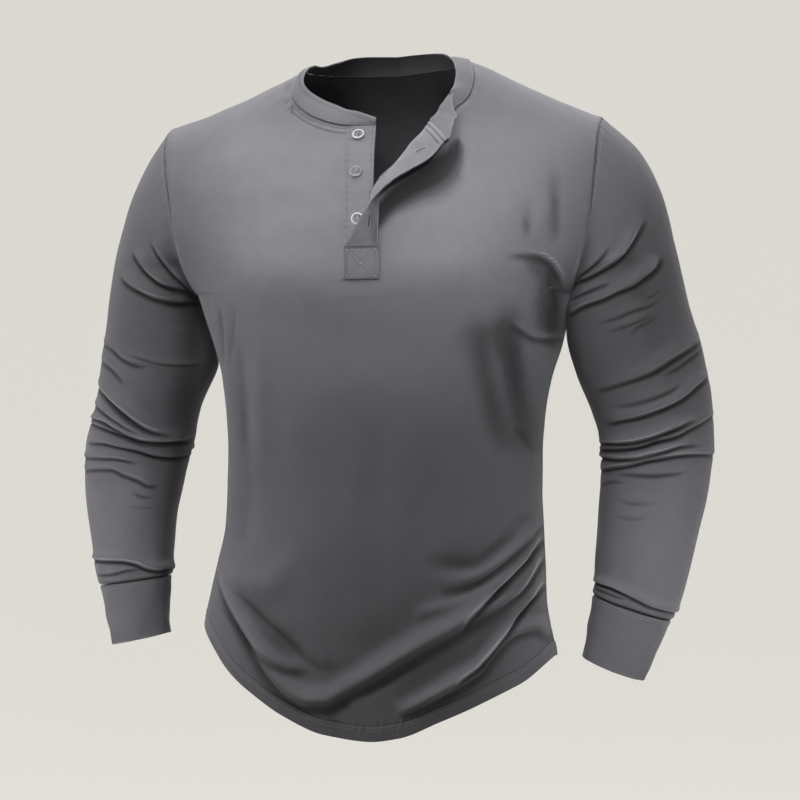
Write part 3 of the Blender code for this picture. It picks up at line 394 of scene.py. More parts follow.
SLEEVE_LEFT_FOLDS = folds("""
shadows;
  upper: 211 -232 0.9 11, 232 -222 0.8 11, 254 -216 0.5 11, 275 -211 0.3 10, 293 -210 0 10;
  inner: 207 -225 0.5 12, 208 -257 0.5 14, 212 -299 0.25 12, 222 -342 0.2 12, 236 -374 0.4 12,
    240 -395 0 10;
  elbow: 243 -416 0.5 8, 272 -413 0.5 8, 294 -404 0.5 8, 315 -395 0.4 8, 335 -385 0 8;
rolls;
  armpit_a: 216 -238 4 3, 232 -233 4.5 3, 248 -225 5 3, 261 -217 5 3, 271 -207 5 3.5, 278 -196 4 4,
    284 -184 2.5 4, 290 -170 0 4;
  armpit_b: 220 -232 3 3, 232 -224 3 3, 244 -214 2 3, 254 -201 0 3;
  armpit_c: 210 -270 3.5 4, 226 -263 4 4, 245 -257 4 4, 262 -249 4 4, 277 -243 4.5 4, 290 -233 4.5 4.5,
    300 -223 3.5 5, 305 -210 0 5;
  armpit_d: 212 -254 2 3, 227 -249 2.5 3, 243 -243 2 3, 256 -238 0 3;
  fine_a: 237 -282 0 3, 257 -277 1.2 3, 276 -269 1.5 3, 293 -263 1.2 3, 305 -256 0 3;
  fine_b: 246 -292 0 3, 266 -286 1 3, 284 -279 1.2 3, 301 -270 0 3;
  fine_c: 271 -300 0 3, 278 -288 1 3, 291 -281 1 3, 305 -271 0 3;
  fine_d: 285 -258 0 3, 297 -251 1 3, 307 -242 0 3;
  upper_a: 230 -355 0 4, 246 -351 1.5 4, 267 -345 2 4, 284 -339 2.5 4.5, 301 -331 3 5, 317 -320 3 5,
    333 -309 3 5, 342 -302 3 5;
  upper_b: 305 -338 0 4, 319 -330 1.5 4, 333 -319 2 4, 344 -309 2 4;
  upper_c: 248 -371 0 4, 271 -368 1 4, 294 -362 1.5 4, 313 -354 1.5 4, 327 -343 0 4;
  elbow_a: 242 -390 0 4, 259 -386 3 4, 279 -382 3.5 4, 298 -376 4 4, 315 -369 4.5 4, 331 -359 4.5 4,
    349 -341 4.5 4;
  elbow_b: 237 -410 4 4, 254 -410 5 4, 272 -409 5.5 4, 290 -405 5 4, 304 -400 4.5 4, 321 -393 4 4,
    333 -387 2 4, 341 -384 0 4;
  elbow_c: 239 -417 4 3.5, 261 -416 4.5 3.5, 283 -413 4 3.5, 300 -407 4 3.5, 317 -403 4 3.5,
    335 -394 4 3.5, 347 -387 4 3.5, 356 -380 4 3.5;
  elbow_d: 235 -425 5 3.5, 256 -427 5 3.5, 277 -426 5 3.5, 294 -422 4.5 3.5, 311 -417 4 3.5,
    327 -412 3 3.5, 345 -411 0 3.5;
  elbow_e: 239 -439 4 3.5, 254 -436 4.5 3.5, 272 -433 4.5 3.5, 290 -428 4.5 3.5, 307 -425 4.5 3.5,
    325 -422 4.5 3.5, 342 -421 4 3.5, 356 -422 4 3.5;
  fore_a: 252 -441 0 4, 272 -442 1.5 4, 294 -443 2 4, 317 -441 1.5 4, 333 -438 0 4;
  fore_b: 239 -454 1.5 3, 254 -450 1.5 3, 268 -451 0 3;
  fore_c: 255 -468 0 4, 277 -473 1 4, 303 -473 0 4;
  fore_d: 255 -487 0 4, 275 -489 0.8 4, 295 -487 0 4;
  cuff_lip: 234 -559 4 3, 250 -562 4.5 3, 266 -568 4.5 3, 281 -575 4.5 3, 295 -582 5 3, 307 -586 5 3,
    319 -590 5 3;
  cuff_mid: 237 -565 2 2.5, 255 -570 2 2.5, 272 -575 0 2.5
""")
BACK_FOLDS = folds("""
rolls;
  hip_right_upper: -178 -502 7 5, -163 -517 7.5 5, -146 -536 7 5, -128 -549 6 6, -108 -559 4 7,
    -84 -566 2 8, -62 -568 0 9;
  hip_right_second: -176 -541 6 4, -162 -556 6.5 4, -147 -571 6 4.5, -131 -583 5 5, -112 -594 2.5 5,
    -98 -599 0 5;
  swag: -158 -588 0 8, -141 -606 3 8, -117 -625 7 8, -91 -643 8.5 9, -60 -657 9 9, -27 -666 9 9,
    8 -668 9 9, 41 -662 8.5 9, 72 -650 8 9, 101 -634 7.5 8, 127 -612 6 8, 147 -591 3 7, 163 -573 0 7;
  swag_under: -108 -664 0 5, -86 -679 4 5, -58 -691 6 6, -27 -698 6.5 6, 6 -699 5 6, 34 -695 2 6,
    52 -690 0 6;
  hip_left_upper: 61 -549 0 9, 83 -544 2 8, 108 -534 5 6.5, 133 -520 6.5 5.5, 155 -503 7.5 5,
    173 -487 7.5 5;
  hip_left_second: 88 -585 0 6, 107 -577 3 5.5, 129 -561 5.5 5, 150 -541 6.5 4.5, 174 -519 6.5 4.5;
  hem_left: 94 -683 0 6, 111 -672 4 6, 130 -658 6 6, 148 -641 6 6, 166 -629 5 6, 181 -622 3 6;
  hem_right: -181 -607 4 5, -166 -617 5 5, -149 -630 5 5, -131 -645 3 5, -116 -655 0 5;
  armpit_right: -207 -243 5 4, -196 -226 4.5 4, -183 -209 3.5 4, -172 -190 2 5, -165 -172 0 5;
  armpit_left: 160 -176 0 5, 171 -194 2 5, 182 -211 3.5 4, 194 -229 4.5 4, 204 -245 5 4;
ridges;
  blade_right: -118 -132 0 12, -127 -189 2 12, -131 -257 2.2 13, -127 -331 1.6 13, -118 -398 0 13;
  blade_left: 104 -121 0 12, 117 -181 1.8 12, 124 -246 2.2 12, 121 -318 1.8 13, 109 -384 0 13;
  small_of_back: -33 -398 0 13, -38 -448 1.6 13, -30 -503 1.8 13, -14 -549 0 13;
  waist_left: 46 -421 0 11, 57 -463 1.6 11, 63 -508 1.2 11, 60 -541 0 11;
  hip_right_soft: -169 -462 0 9, -142 -478 2 9, -111 -486 1.8 10, -82 -487 0 10;
grooves;
  yoke_right: -213 -118 0 5, -201 -131 1.6 5, -186 -149 1.8 6, -171 -171 0 6;
  yoke_left: 215 -112 0 5, 202 -128 1.8 5, 187 -144 1.5 6, 176 -161 0 6;
  rib_right: -177 -271 0 4, -173 -301 1.6 4, -171 -333 1.6 4, -173 -366 0 4;
  rib_left: 173 -268 0 4, 171 -297 1.6 4, 169 -331 1.2 4, 170 -357 0 4;
  swag_line: -128 -587 0 4, -104 -606 1.6 4, -77 -621 2 5, -44 -631 1.6 6, -12 -634 0 7;
  hem_dent: 66 -672 0 5, 69 -690 2 5, 73 -703 2.4 5, 76 -716 1.6 5
""")
SLEEVE_RIGHT_BACK_FOLDS = folds("""
rolls;
  armpit_a: -252 -182 0 4, -244 -200 2.5 4, -235 -217 3.5 4, -222 -234 4 4, -211 -247 4 4;
  armpit_b: -283 -214 0 5, -269 -229 3 5, -248 -242 4 5, -228 -249 4 5, -212 -254 3 5;
  upper_a: -318 -291 1.5 4, -299 -303 2.5 4, -281 -313 2.5 4.5, -260 -320 1.5 5, -243 -322 0 5;
  elbow_a: -331 -341 3 5, -312 -352 4.5 5, -294 -366 5 5, -275 -379 4.5 5, -257 -387 3 5, -243 -391 0 5;
  elbow_b: -336 -371 4 4, -316 -380 4.5 4, -297 -390 5 4, -277 -398 5 4, -256 -404 4 4, -238 -405 2 4,
    -228 -404 0 4;
  elbow_c: -339 -398 3 3.5, -318 -403 4 3.5, -297 -409 4.5 4, -274 -415 5 4, -253 -419 5 4,
    -233 -419 4 4;
  fore_a: -342 -425 2.5 3.5, -319 -427 3 3.5, -298 -433 3 4, -279 -440 2 4, -265 -445 0 4;
  fore_b: -340 -455 1.5 4, -317 -456 2 4, -295 -461 2 4, -274 -468 0 4;
  cuff_lip: -326 -542 4 3.5, -307 -543 4.5 3.5, -288 -545 4.5 3.5, -268 -549 4 3, -246 -553 4 3;
ridges;
  arm_run: -297 -178 0 10, -309 -222 1.6 10, -312 -268 1.2 10, -310 -297 0 10;
  forearm_run: -318 -470 0 9, -313 -497 1.4 9, -307 -523 0 9
""")
SLEEVE_LEFT_BACK_FOLDS = folds("""
rolls;
  armpit_a: 213 -243 4 3.5, 231 -236 4.5 3.5, 249 -226 4.5 3.5, 264 -213 4 4, 275 -196 2.5 4,
    281 -178 0 4;
  armpit_b: 213 -262 4 4, 233 -257 4 4, 256 -249 4.5 4.5, 279 -238 4 4.5, 297 -223 2.5 5, 306 -206 0 5;
  upper_a: 236 -347 0 4.5, 256 -343 2 4.5, 279 -336 3 5, 303 -325 3.5 5, 325 -310 3 5, 341 -295 2 5;
  elbow_a: 241 -383 0 4, 261 -380 3 4, 284 -374 4 4.5, 306 -366 4.5 4.5, 328 -353 4.5 4.5,
    347 -337 4 4.5;
  elbow_b: 238 -404 4 4, 258 -404 5 4, 281 -401 5 4, 303 -394 4.5 4, 325 -383 4.5 4, 349 -367 4 4;
  elbow_c: 237 -426 4 4, 257 -425 5 4, 279 -422 5 4, 302 -416 4.5 4, 326 -407 4 4, 352 -399 3.5 4;
  fore_a: 241 -451 2.5 4, 261 -449 3.5 4, 285 -446 3.5 4, 308 -441 3 4, 333 -437 1.5 4, 349 -436 0 4;
  fore_b: 248 -481 0 4, 270 -481 1.8 4, 293 -478 2 4, 314 -475 0 4;
  cuff_lip: 234 -558 4 3, 252 -562 4.5 3, 270 -569 4.5 3, 289 -578 4.5 3, 307 -586 5 3, 320 -591 5 3;
ridges;
  arm_run: 292 -161 0 10, 307 -204 1.6 10, 317 -252 1.4 10, 322 -291 0 10;
  forearm_run: 325 -469 0 9, 319 -503 1.4 9, 309 -539 0 9
""")

# Broad rises and hollows: across, up, half width, half height and height
FRONT_SWELLS = table("x z wide tall height", [
    (0.000, -0.236, 0.170, 0.036, 0.0060),
    (-0.115, -0.222, 0.055, 0.034, 0.0040),
    (0.112, -0.230, 0.050, 0.034, 0.0045),
    (0.000, -0.308, 0.150, 0.030, -0.0035),
    (0.146, -0.345, 0.020, 0.060, -0.0040),
    (0.168, -0.445, 0.016, 0.045, 0.0050),
    (-0.010, -0.515, 0.100, 0.055, 0.0055),
    (-0.013, -0.622, 0.085, 0.030, -0.0030),
    (-0.120, -0.372, 0.012, 0.070, 0.0025),
    (-0.152, -0.372, 0.011, 0.065, -0.0025),
    (0.052, -0.400, 0.018, 0.080, 0.0015),
    (0.018, -0.420, 0.014, 0.070, -0.0012),
])
BACK_SWELLS = table("x z wide tall height", [
    (-0.105, -0.160, 0.055, 0.060, 0.0040),
    (0.105, -0.160, 0.055, 0.060, 0.0040),
    (0.000, -0.200, 0.018, 0.100, -0.0030),
    (-0.120, -0.300, 0.050, 0.040, -0.0025),
    (0.120, -0.300, 0.050, 0.040, -0.0025),
    (-0.070, -0.420, 0.025, 0.070, 0.0025),
    (0.080, -0.440, 0.025, 0.070, 0.0020),
])

# Crest and trough of each kind of fold: place above the line, spread below and above
# that place, and share of the depth, all but the last in widths
KINDS = {
    "rolls": ((0.8, 0.65, 1.9, 1.0), (-0.3, 0.5, 0.4, -0.9)),
    "swags": ((0.8, 0.8, 1.3, 1.0), (-0.4, 0.7, 0.6, -0.6), (3.4, 1.2, 2.6, -0.5)),
    "ridges": ((0.0, 1.3, 1.3, 1.0),),
    "grooves": ((0.0, 1.0, 1.0, -1.0),),
    "hollows": ((0.0, 1.0, 1.0, -0.7),),
    "shadows": (),
}
# Painted highlight on the crest and painted shade in the hollow of each kind, told the same way
SHADES = {
    "rolls": ((0.55, 0.36, 0.6, 1.3), (-0.35, 0.65, 0.4, -2.0)),
    "swags": ((1.0, 0.6, 1.0, 0.42), (-0.4, 0.8, 0.6, -0.9), (3.0, 1.0, 2.2, -0.35)),
    "ridges": ((0.0, 1.0, 1.0, 0.5),),
    "grooves": ((0.0, 0.8, 0.8, -0.8),),
    "hollows": ((0.0, 1.0, 1.0, -0.75),),
    "shadows": ((-0.25, 1.1, 0.5, -3.0),),
}

SLEEVES = {"left": SLEEVE_LEFT, "right": SLEEVE_RIGHT}
CUFFS = {"left": CUFF_LEFT, "right": CUFF_RIGHT}
SLEEVE_FOLDS = {"left": (SLEEVE_LEFT_FOLDS, SLEEVE_LEFT_BACK_FOLDS),
                "right": (SLEEVE_RIGHT_FOLDS, SLEEVE_RIGHT_BACK_FOLDS)}
BAND_CENTRE = (0.0, -0.01)
SEAM_HOLD = 12
OUTLINE_HOLD = 0.6
FULL_SHADE = 3 * MM
FOLD_STEP = 1.5 * MM
ARMPIT_HOLD = 0.35

# Cloth, hems and seams
MERGE = 0.01 * MM
CLOTH = 0.0010
DOUBLED = 0.0020
BAND_THICK = 0.0016
STRIP = 0.0015
LIFT = 0.0006
SEAM_LIP = 0.35 * MM
SEAM_LIP_PLACE = 3.2 * MM
SEAM_LIP_SPREAD = 2.2 * MM
SEAM_DEPTH = 0.9 * MM
SEAM_SPREAD = 1.5 * MM
CALM_EDGE = 20 * MM
HEM_TURN = 16 * MM
HEM_STEP = 0.5 * MM
HEM_EASE = 1.2 * MM
HEM_GROOVE = 0.5 * MM
HEM_SPREAD = 1.1 * MM
HEM_ROWS = (11 * MM, 14.5 * MM)
ROW_SPREAD = 0.9 * MM
NECK_ROWS = (2.4 * MM, 6.4 * MM)
# Ridges and hollows beside the neck seam: distance, height and shade
NECK_RIDGES = [(2.4 * MM, 0.5 * MM, 0.5), (4.4 * MM, -0.3 * MM, -0.6), (6.4 * MM, 0.5 * MM, 0.5),
               (8.4 * MM, -0.5 * MM, -0.9)]
NECK_RIDGE_SPREAD = 1.0 * MM
NECK_FADE = 0.75
NECK_FADE_FROM = 50 * MM
NECK_FADE_OVER = 30 * MM
ARMPIT_EASE = 20 * MM
ARMHOLE_ROWS = (2.5 * MM, 5.5 * MM)
SHOULDER_ROW = 3 * MM
EDGE_ROW = 1.6 * MM
UNDER_STRIP_ROW = 1.8 * MM
FLAP_END_ROWS = (2.0 * MM, 8.0 * MM)
PITCH = 3.0 * MM
SHORT_PITCH = 2.6 * MM
# Gathers beside each seam: pitch, height and how far they run into the cloth
HEM_PUCKERS = (8 * MM, 0.35 * MM, 9 * MM)
SIDE_PUCKERS = (9 * MM, 0.4 * MM, 9 * MM)
NECK_PUCKERS = (7 * MM, 0.2 * MM, 7 * MM)
SLIT_PUCKERS = (6.5 * MM, 0.3 * MM, 5 * MM)
ARMHOLE_PUCKERS = (9 * MM, 0.4 * MM, 10 * MM)
SLEEVE_END_PUCKERS = (7 * MM, 0.5 * MM, 12 * MM)
CUFF_PUCKERS = (6 * MM, 0.35 * MM, 9 * MM)
BAND_PUCKERS = (6.5 * MM, 0.25 * MM, 5 * MM)
STRIP_PUCKERS = (6 * MM, 0.45 * MM, 6 * MM)
# Slight waves of each piece: length and height
PANEL_WAVES = (60 * MM, 0.4 * MM)
SLEEVE_WAVES = (60 * MM, 0.35 * MM)
CUFF_WAVES = (26 * MM, 0.45 * MM)
FLAP_WAVES = (26 * MM, 0.3 * MM)
# Radii at which a sleeve and a cuff turn an angle into a run round the arm
SLEEVE_RADIUS = 60 * MM
CUFF_RADIUS = 45 * MM
CUFF_STITCH_ROWS = (2.6 * MM, 5.4 * MM)
# Double row beside the upper strip's seam, from the box up
OVERLAY_X = 0.0195
OVERLAY_TOP = -0.158
OVERLAY_OUT = 5.2 * MM
FLAP_RIDGES = [(2.0 * MM, 0.7 * MM, 0.8), (4.8 * MM, -0.7 * MM, -1.4), (8.0 * MM, 0.7 * MM, 0.8),
               (10.5 * MM, -0.5 * MM, -1.3)]
FLAP_RIDGE_SPREAD = 0.9 * MM

# Half section of a button, in shares of its radius and thickness
BUTTON_THICK = 0.0024
BUTTON_GAP = 0.0003
BUTTON_SECTION = table("out up", [
    (0.00, 0.00),
    (0.74, 0.00),
    (0.90, 0.10),
    (0.99, 0.34),
    (1.00, 0.62),
    (0.96, 0.88),
    (0.88, 1.00),
    (0.79, 0.99),
    (0.71, 0.86),
    (0.64, 0.72),
    (0.40, 0.62),
    (0.00, 0.60),
])
HOLES = [(x, y) for y in (-1.3 * MM, 1.3 * MM) for x in (-1.35 * MM, 1.35 * MM)]
HOLE_RADIUS = 0.9 * MM
# Thread through the holes: half length, heights at the ends and the middle, half gap
THREAD_REACH = 1.25 * MM
THREAD_END = 1.9 * MM
THREAD_MIDDLE = 2.2 * MM
THREAD_APART = 0.22 * MM
BUTTON_TURNS = {"button_top": 0.2, "button_middle": -0.35, "button_bottom": 0.9}
# Buttonholes: row and share across of the upper strip, length and slant
BUTTONHOLES = [(20, 0.5, 15 * MM, 0.15), (51, 0.5, 14 * MM, 0.1), (70, 0.8, 13 * MM, -0.3)]
WORKED_PITCH = 0.45 * MM
WORKED_ASIDE = 1.35 * MM
# Painted highlight on the rim of each button, and how strong it is
RIM_HIGHLIGHT = {"button_top": 0.9, "button_middle": 0.3, "button_bottom": 0.8}

# ---------------------------------------------------------------- camera, room, light

CAMERA_TURN = 11.0
CAMERA_FAR = 2.7
CAMERA_ASIDE = 0.0154
CAMERA_HEIGHT = -0.363
CAMERA_LENS = 110.4
FLOOR = -1.30
# Floor that turns up into a wall: out from the middle, up from the floor
ROOM_SECTION = [(0.0, 0.0), (1.0, 0.0), (2.5, 0.0), (3.6, 0.02), (4.3, 0.12), (4.9, 0.34),
                (5.35, 0.72), (5.6, 1.2), (5.7, 1.9), (5.72, 3.0), (5.72, 5.0)]
ROOM_TONE = (0.70, 0.68, 0.632, 1.0)
BACKDROP_GLOW = 0.93
AIR = 0.13
# Place, target, size, power and beam of each lamp
LAMPS = {
    "over_light": ((0.0, -0.2, 2.4), (0.0, 0.0, -0.3), (2.0, 1.4), 66.0, 180),
    "right_light": ((-2.6, -0.9, -0.1), (0.0, 0.0, -0.3), (1.2, 2.0), 18.0, 180),
    "left_light": ((2.6, -0.4, -0.1), (0.0, 0.0, -0.3), (1.2, 2.0), 6.0, 180),
    "near_light": ((-0.6, -0.9, 0.8), (-0.05, 0.0, -0.2), (0.6, 0.5), 9.6, 180),
    "edge_light": ((0.0, 0.7, 1.0), (0.0, 0.0, -0.1), (1.2, 0.5), 15.0, 180),
    "chest_light_left": ((0.9, -2.2, 0.6), (0.115, -0.1, -0.18), (0.2, 0.2), 0.28, 9),
    "chest_light_right": ((-0.6, -2.3, 0.6), (-0.105, -0.1, -0.17), (0.2, 0.2), 0.21, 9),
    "cuff_light_left": ((1.6, -1.9, -0.3), (0.305, 0.0, -0.56), (0.3, 0.3), 0.28, 10),
    "cuff_light_right": ((-1.2, -2.1, -0.3), (-0.30, 0.0, -0.53), (0.3, 0.3), 0.21, 10),
}
# Darkest and lightest yarn; painted highlight on fold crests, faint and bright; painted shade in
# hollows; painted shade on the inner side of the cloth, where light doesn't reach; painted black shadow
JERSEY_TONES = ((0.118, 0.116, 0.128, 1.0), (0.132, 0.130, 0.143, 1.0))
CREST_HIGHLIGHT_TONE = (0.170, 0.168, 0.184, 1.0)
BRIGHT_HIGHLIGHT_TONE = (0.36, 0.36, 0.375, 1.0)
HOLLOW_SHADE_TONE = (0.028, 0.028, 0.032, 1.0)
INSIDE_SHADE_TONE = (0.034, 0.034, 0.038, 1.0)
SHADOW_TONE = (0.004, 0.004, 0.005, 1.0)
THREAD_TONES = ((0.150, 0.154, 0.164, 1.0), (0.250, 0.255, 0.268, 1.0))
# Painted shade inside the buttonhole slits, darkest and lightest
SLIT_SHADE_TONES = ((0.006, 0.006, 0.007, 1.0), (0.012, 0.012, 0.013, 1.0))
HORN_TONES = ((0.035, 0.036, 0.040, 1.0), (0.115, 0.117, 0.125, 1.0))
# Painted highlight on the button rims
RIM_HIGHLIGHT_TONE = (0.46, 0.46, 0.47, 1.0)
# Width and height of a loop, and the relief of the knit, single and doubled
SINGLE_KNIT = ((0.0008, 0.0007), 0.3)
DOUBLED_KNIT = ((0.0010, 0.0008), 0.4)

# ---------------------------------------------------------------- curves and shapes

def curve(knots, values, at):
    """Smooth curve through the values that never overshoots them."""
    step = np.diff(knots)
    rise = np.diff(values) / step
    slope = np.concatenate([[rise[0]], np.zeros(len(knots) - 2), [rise[-1]]])
    same = rise[:-1] * rise[1:] > 0
    before = 2 * step[1:] + step[:-1]
    after = step[1:] + 2 * step[:-1]
    with np.errstate(divide="ignore", invalid="ignore"):
        mean = (before + after) / (before / rise[:-1] + after / rise[1:])
    slope[1:-1] = np.where(same, mean, 0.0)
    at = np.clip(at, knots[0], knots[-1])
    i = np.clip(np.searchsorted(knots, at, side="right") - 1, 0, len(step) - 1)
    t = (at - knots[i]) / step[i]
    h = step[i]
    return ((1 + 2 * t) * (1 - t) ** 2 * values[i] + t * (1 - t) ** 2 * h * slope[i]
            + t * t * (3 - 2 * t) * values[i + 1] + t * t * (t - 1) * h * slope[i + 1])


def unit(v):
    """Vectors of length one."""
    return v / np.maximum(np.linalg.norm(v, axis=-1, keepdims=True), 1e-12)


def bell(away, spread):
    """Soft fall from 1 with the distance, told by its spread."""
    return np.exp(-(away / spread) ** 2)


def bent(t, first, middle, last):
    """Curve through three places, at 0, a half and 1."""
    return (2 * t - 1) * (t - 1) * first + 4 * t * (1 - t) * middle + t * (2 * t - 1) * last


def smooth(t):
    """Soft step from 0 to 1."""
    t = np.clip(t, 0, 1)
    return t * t * (3 - 2 * t)


def run_length(points):
    """Distance along a line of points, from its first to each of them."""
    return np.concatenate([[0], np.cumsum(np.linalg.norm(np.diff(points, axis=0), axis=1))])


def along(points, fraction):
    """Point on a smooth line through the points, at a fraction of its length."""
    length = run_length(points)
    return np.stack([curve(length / length[-1], c, fraction) for c in points.T], -1)


def through(points, count):
    """Smooth line of count points through evenly numbered ones."""
    knots = np.arange(float(len(points)))
    where = np.linspace(0, knots[-1], count)
    return np.stack([curve(knots, values, where) for values in np.transpose(points)], -1)


def reach(across, z):
    """Distance of the side from the middle, for either side."""
    return np.where(across < 0, curve(BODY["height"], BODY["right"], z),
                    curve(BODY["height"], BODY["left"], z))


def shoulder_height(x):
    """Height of the shoulder line over a place across the body."""
    return np.where(x < 0, curve(SHOULDER["reach"], SHOULDER["right"], np.abs(x)),
                    curve(SHOULDER["reach"], SHOULDER["left"], np.abs(x)))


def body_y(x, z, side):
    """Depth of the body's front or back surface over the point x, z."""
    across = np.clip(np.abs(x) / reach(x, z), 0, 1)
    depth = curve(BODY["height"], BODY[side], z)
    rise = np.clip(2 * (z - ARMPIT) / (SHOULDER_TIP - ARMPIT), 0, 1)
    edge = ARMHOLE_DEPTH[side]
    round_side = depth * (1 - across ** FULLNESS) ** SIDE_POWER
    open_side = edge + (depth - edge) * (1 - across ** FULLNESS) ** ARM_POWER
    ease = rise * rise * (3 - 2 * rise)
    lower = round_side + (open_side - round_side) * ease
    lower += edge * (np.sqrt(1 - (1 - rise) ** 2) - ease) * across ** ARMHOLE_REACH
    sign = -1 if side == "front" else 1
    fall = np.clip((shoulder_height(x) - z) / SHOULDER_ROLL, 0, 1)
    roll = (1 - (1 - fall) ** ROLL_POWER) ** (1 / ROLL_POWER)
    return SHOULDER_RIDGE + (sign * lower - SHOULDER_RIDGE) * roll


def cloth_y(x, z, side):
    """Depth of the worn cloth: the body's, eased over the armpit, with its broad forms."""
    free = 1 - np.clip(np.abs(x) / reach(x, z), 0, 1) ** SEAM_HOLD
    y = body_y(x, z, side)
    shifts = np.linspace(-ARMPIT_EASE, ARMPIT_EASE, 9)
    eased = sum(body_y(x, z + shift, side) for shift in shifts) / len(shifts)
    y = y + (eased - y) * np.exp(-((z - ARMPIT) / (1.5 * ARMPIT_EASE)) ** 4) * free
    forms = FRONT_SWELLS if side == "front" else BACK_SWELLS
    rise = sum(height * np.exp(-((x - px) / wide) ** 2 - ((z - pz) / tall) ** 2)
               for px, pz, wide, tall, height in np.stack(list(forms.values()), -1))
    return y + rise * free * (-1 if side == "front" else 1)


def column_positions():
    """Position across the panel of each column, -1 to 1."""
    neck = NECK_REACH / reach(1.0, 0.0)
    slit = ROLL_EDGE["x"][0] / reach(1.0, 0.0)
    side = neck + (1 - neck) * np.sin(np.linspace(0, math.pi / 2, SIDE_COLUMNS + 1))
    right = np.linspace(-neck, slit, NECK_COLUMNS + 1)
    left = np.linspace(slit, neck, NECK_COLUMNS + 1)
    return np.concatenate([-side[:0:-1], right, left[1:], side[1:]])


def top_line(side, u):
    """Upper edge of a panel: shoulder seams with the neck seam between them."""
    x = u * reach(u, np.full_like(u, SHOULDER_TIP))
    z = shoulder_height(x)
    if side == "front":
        seam = along(line_of(NECK_SEAM, "x", "z"), np.linspace(0, 1, NECK_COLUMNS + 1))
        x[SIDE_COLUMNS:SLIT + 1] = seam[:, 0]
        z[SIDE_COLUMNS:SLIT + 1] = seam[:, 1]
    else:
        neck = slice(SIDE_COLUMNS, NECK_LEFT + 1)
        inward = 1 - np.abs(u[neck]) * reach(1.0, 0.0) / NECK_REACH
        ends = shoulder_height(np.sign(u[neck]) * NECK_REACH)
        z[neck] = ends * (1 - inward) + BACK_NECK_RISE * inward * (2 - inward)
    return x, z


def beside_neck(u):
    """Nearness to the neck of the columns on the wearer's left of it, 1 to 0."""
    return (1 - u[NECK_LEFT:]) / (1 - u[NECK_LEFT])


def middle_line(side, u):
    """Row of a panel between armpit and shoulder, which on the front meets the slit."""
    z = np.full_like(u, (ARMPIT + SHOULDER_TIP) / 2)
    x = u * reach(u, z)
    if side == "front":
        turned = NECK_COLUMNS * 4 // 5
        roll = along(line_of(ROLL_EDGE, "x", "z"), np.linspace(0, 1, turned + 1))
        straight = np.linspace(roll[-1], line_of(NECK_SEAM_LEFT, "x", "z")[0], NECK_COLUMNS - turned + 1)
        roll = np.concatenate([roll, straight[1:]])
        z[:SLIT + 1] += (roll[0, 1] - z[0]) * (u[:SLIT + 1] + 1) / (u[SLIT] + 1)
        z[NECK_LEFT:] += (roll[-1, 1] - z[-1]) * beside_neck(u) ** 2
        x = u * reach(u, z)
        x[SLIT:NECK_LEFT + 1] = roll[:, 0]
        z[SLIT:NECK_LEFT + 1] = roll[:, 1]
    return x, z


def panel_points(side):
    """Grid of points of the front or back, rows from hem to shoulder."""
    u = column_positions()
    hem = curve(HEM["across"], HEM[side], u)
    top_x, top_z = top_line(side, u)
    middle_x, middle_z = middle_line(side, u)
    rows = []
    for t in np.linspace(0, 1, SKIRT_ROWS + 1) ** SKIRT_SPACING:
        z = hem + (ARMPIT - hem) * t
        rows.append((u * reach(u, z), z))
    for t in np.linspace(0, 1, CHEST_ROWS + 1)[1:]:
        share = 1 - math.cos(t * math.pi / 2)
        z = ARMPIT + (middle_z - ARMPIT) * share
        shift = (middle_x - u * reach(u, middle_z)) * share
        rows.append((u * reach(u, z) + shift, z))
    at_side = np.clip((np.abs(u) - SIDE_PULL) / (1 - SIDE_PULL), 0, 1) ** 2
    for t in np.linspace(0, 1, YOKE_ROWS + 1)[1:]:
        share = math.sin(t * math.pi / 2)
        z = middle_z + (top_z - middle_z) * share
        x = middle_x + (top_x - middle_x) * share
        x += (u * reach(u, z) - x) * at_side
        if side == "front":
            seam_x, seam_z = along(line_of(NECK_SEAM_LEFT, "x", "z"), t)
            x[NECK_LEFT:] += (seam_x - x[NECK_LEFT]) * beside_neck(u) ** 2
            z[NECK_LEFT:] += (seam_z - z[NECK_LEFT]) * beside_neck(u) ** 2
        rows.append((x, z))
    x, z = np.array(rows).transpose(1, 0, 2)
    return np.stack([x, cloth_y(x, z, side), z], -1)


def grid_normals(points, closed=False):
    """Unit normals of a grid of points, outward for rows up and columns right."""
    if closed:
        du = np.roll(points, -1, 1) - np.roll(points, 1, 1)
    else:
        du = np.gradient(points, axis=1)
    dv = np.gradient(points, axis=0)
    return unit(np.cross(du, dv))


def round_angles():
    """Angles round a sleeve: outer side, front, inner side, back."""
    count = 2 * (CHEST_ROWS + YOKE_ROWS)
    return np.arange(count) * 2 * math.pi / count


def tube_points(section, rows, first_ring=None):
    """Grid of a tube: a row for each ring, from the top, closed round."""
    outer = line_of(section, "outer_x", "centre_y", "outer_z")[:, None]
    inner = line_of(section, "inner_x", "centre_y", "inner_z")[:, None]
    forward = np.array([0, -1, 0]) * section["half_depth"][:, None, None]
    angles = round_angles()[:, None]
    rings = (outer + inner) / 2 + np.cos(angles) * (outer - inner) / 2 + np.sin(angles) * forward
    if first_ring is not None:
        rings = np.concatenate([first_ring[None], rings])
    length = run_length(rings.mean(1))
    flat = rings.reshape(len(rings), -1)
    points = np.array([[curve(length, c, at) for c in flat.T] for at in rows * length[-1]])
    return points.reshape(len(rows), len(angles), 3)


def armhole_ring(front, back, left):
    """Loop of the armhole from the shoulder tip down the front and up the back."""
    column = -1 if left else 0
    lowest = CHEST_ROWS + YOKE_ROWS
    down = front[SKIRT_ROWS:, column][::-1]
    up = back[SKIRT_ROWS:, column]
    loop = np.concatenate([down, up[1:-1]])
    loop[0] = (down[0] + up[-1]) / 2
    loop[lowest] = (down[-1] + up[0]) / 2
    return loop


# ---------------------------------------------------------------- folds

def across_fold(above, parts):
    """Sum of the parts of a fold, each with its own spread on either side."""
    return sum(share * bell(above - place, np.where(above < place, under, over))
               for place, under, over, share in parts)


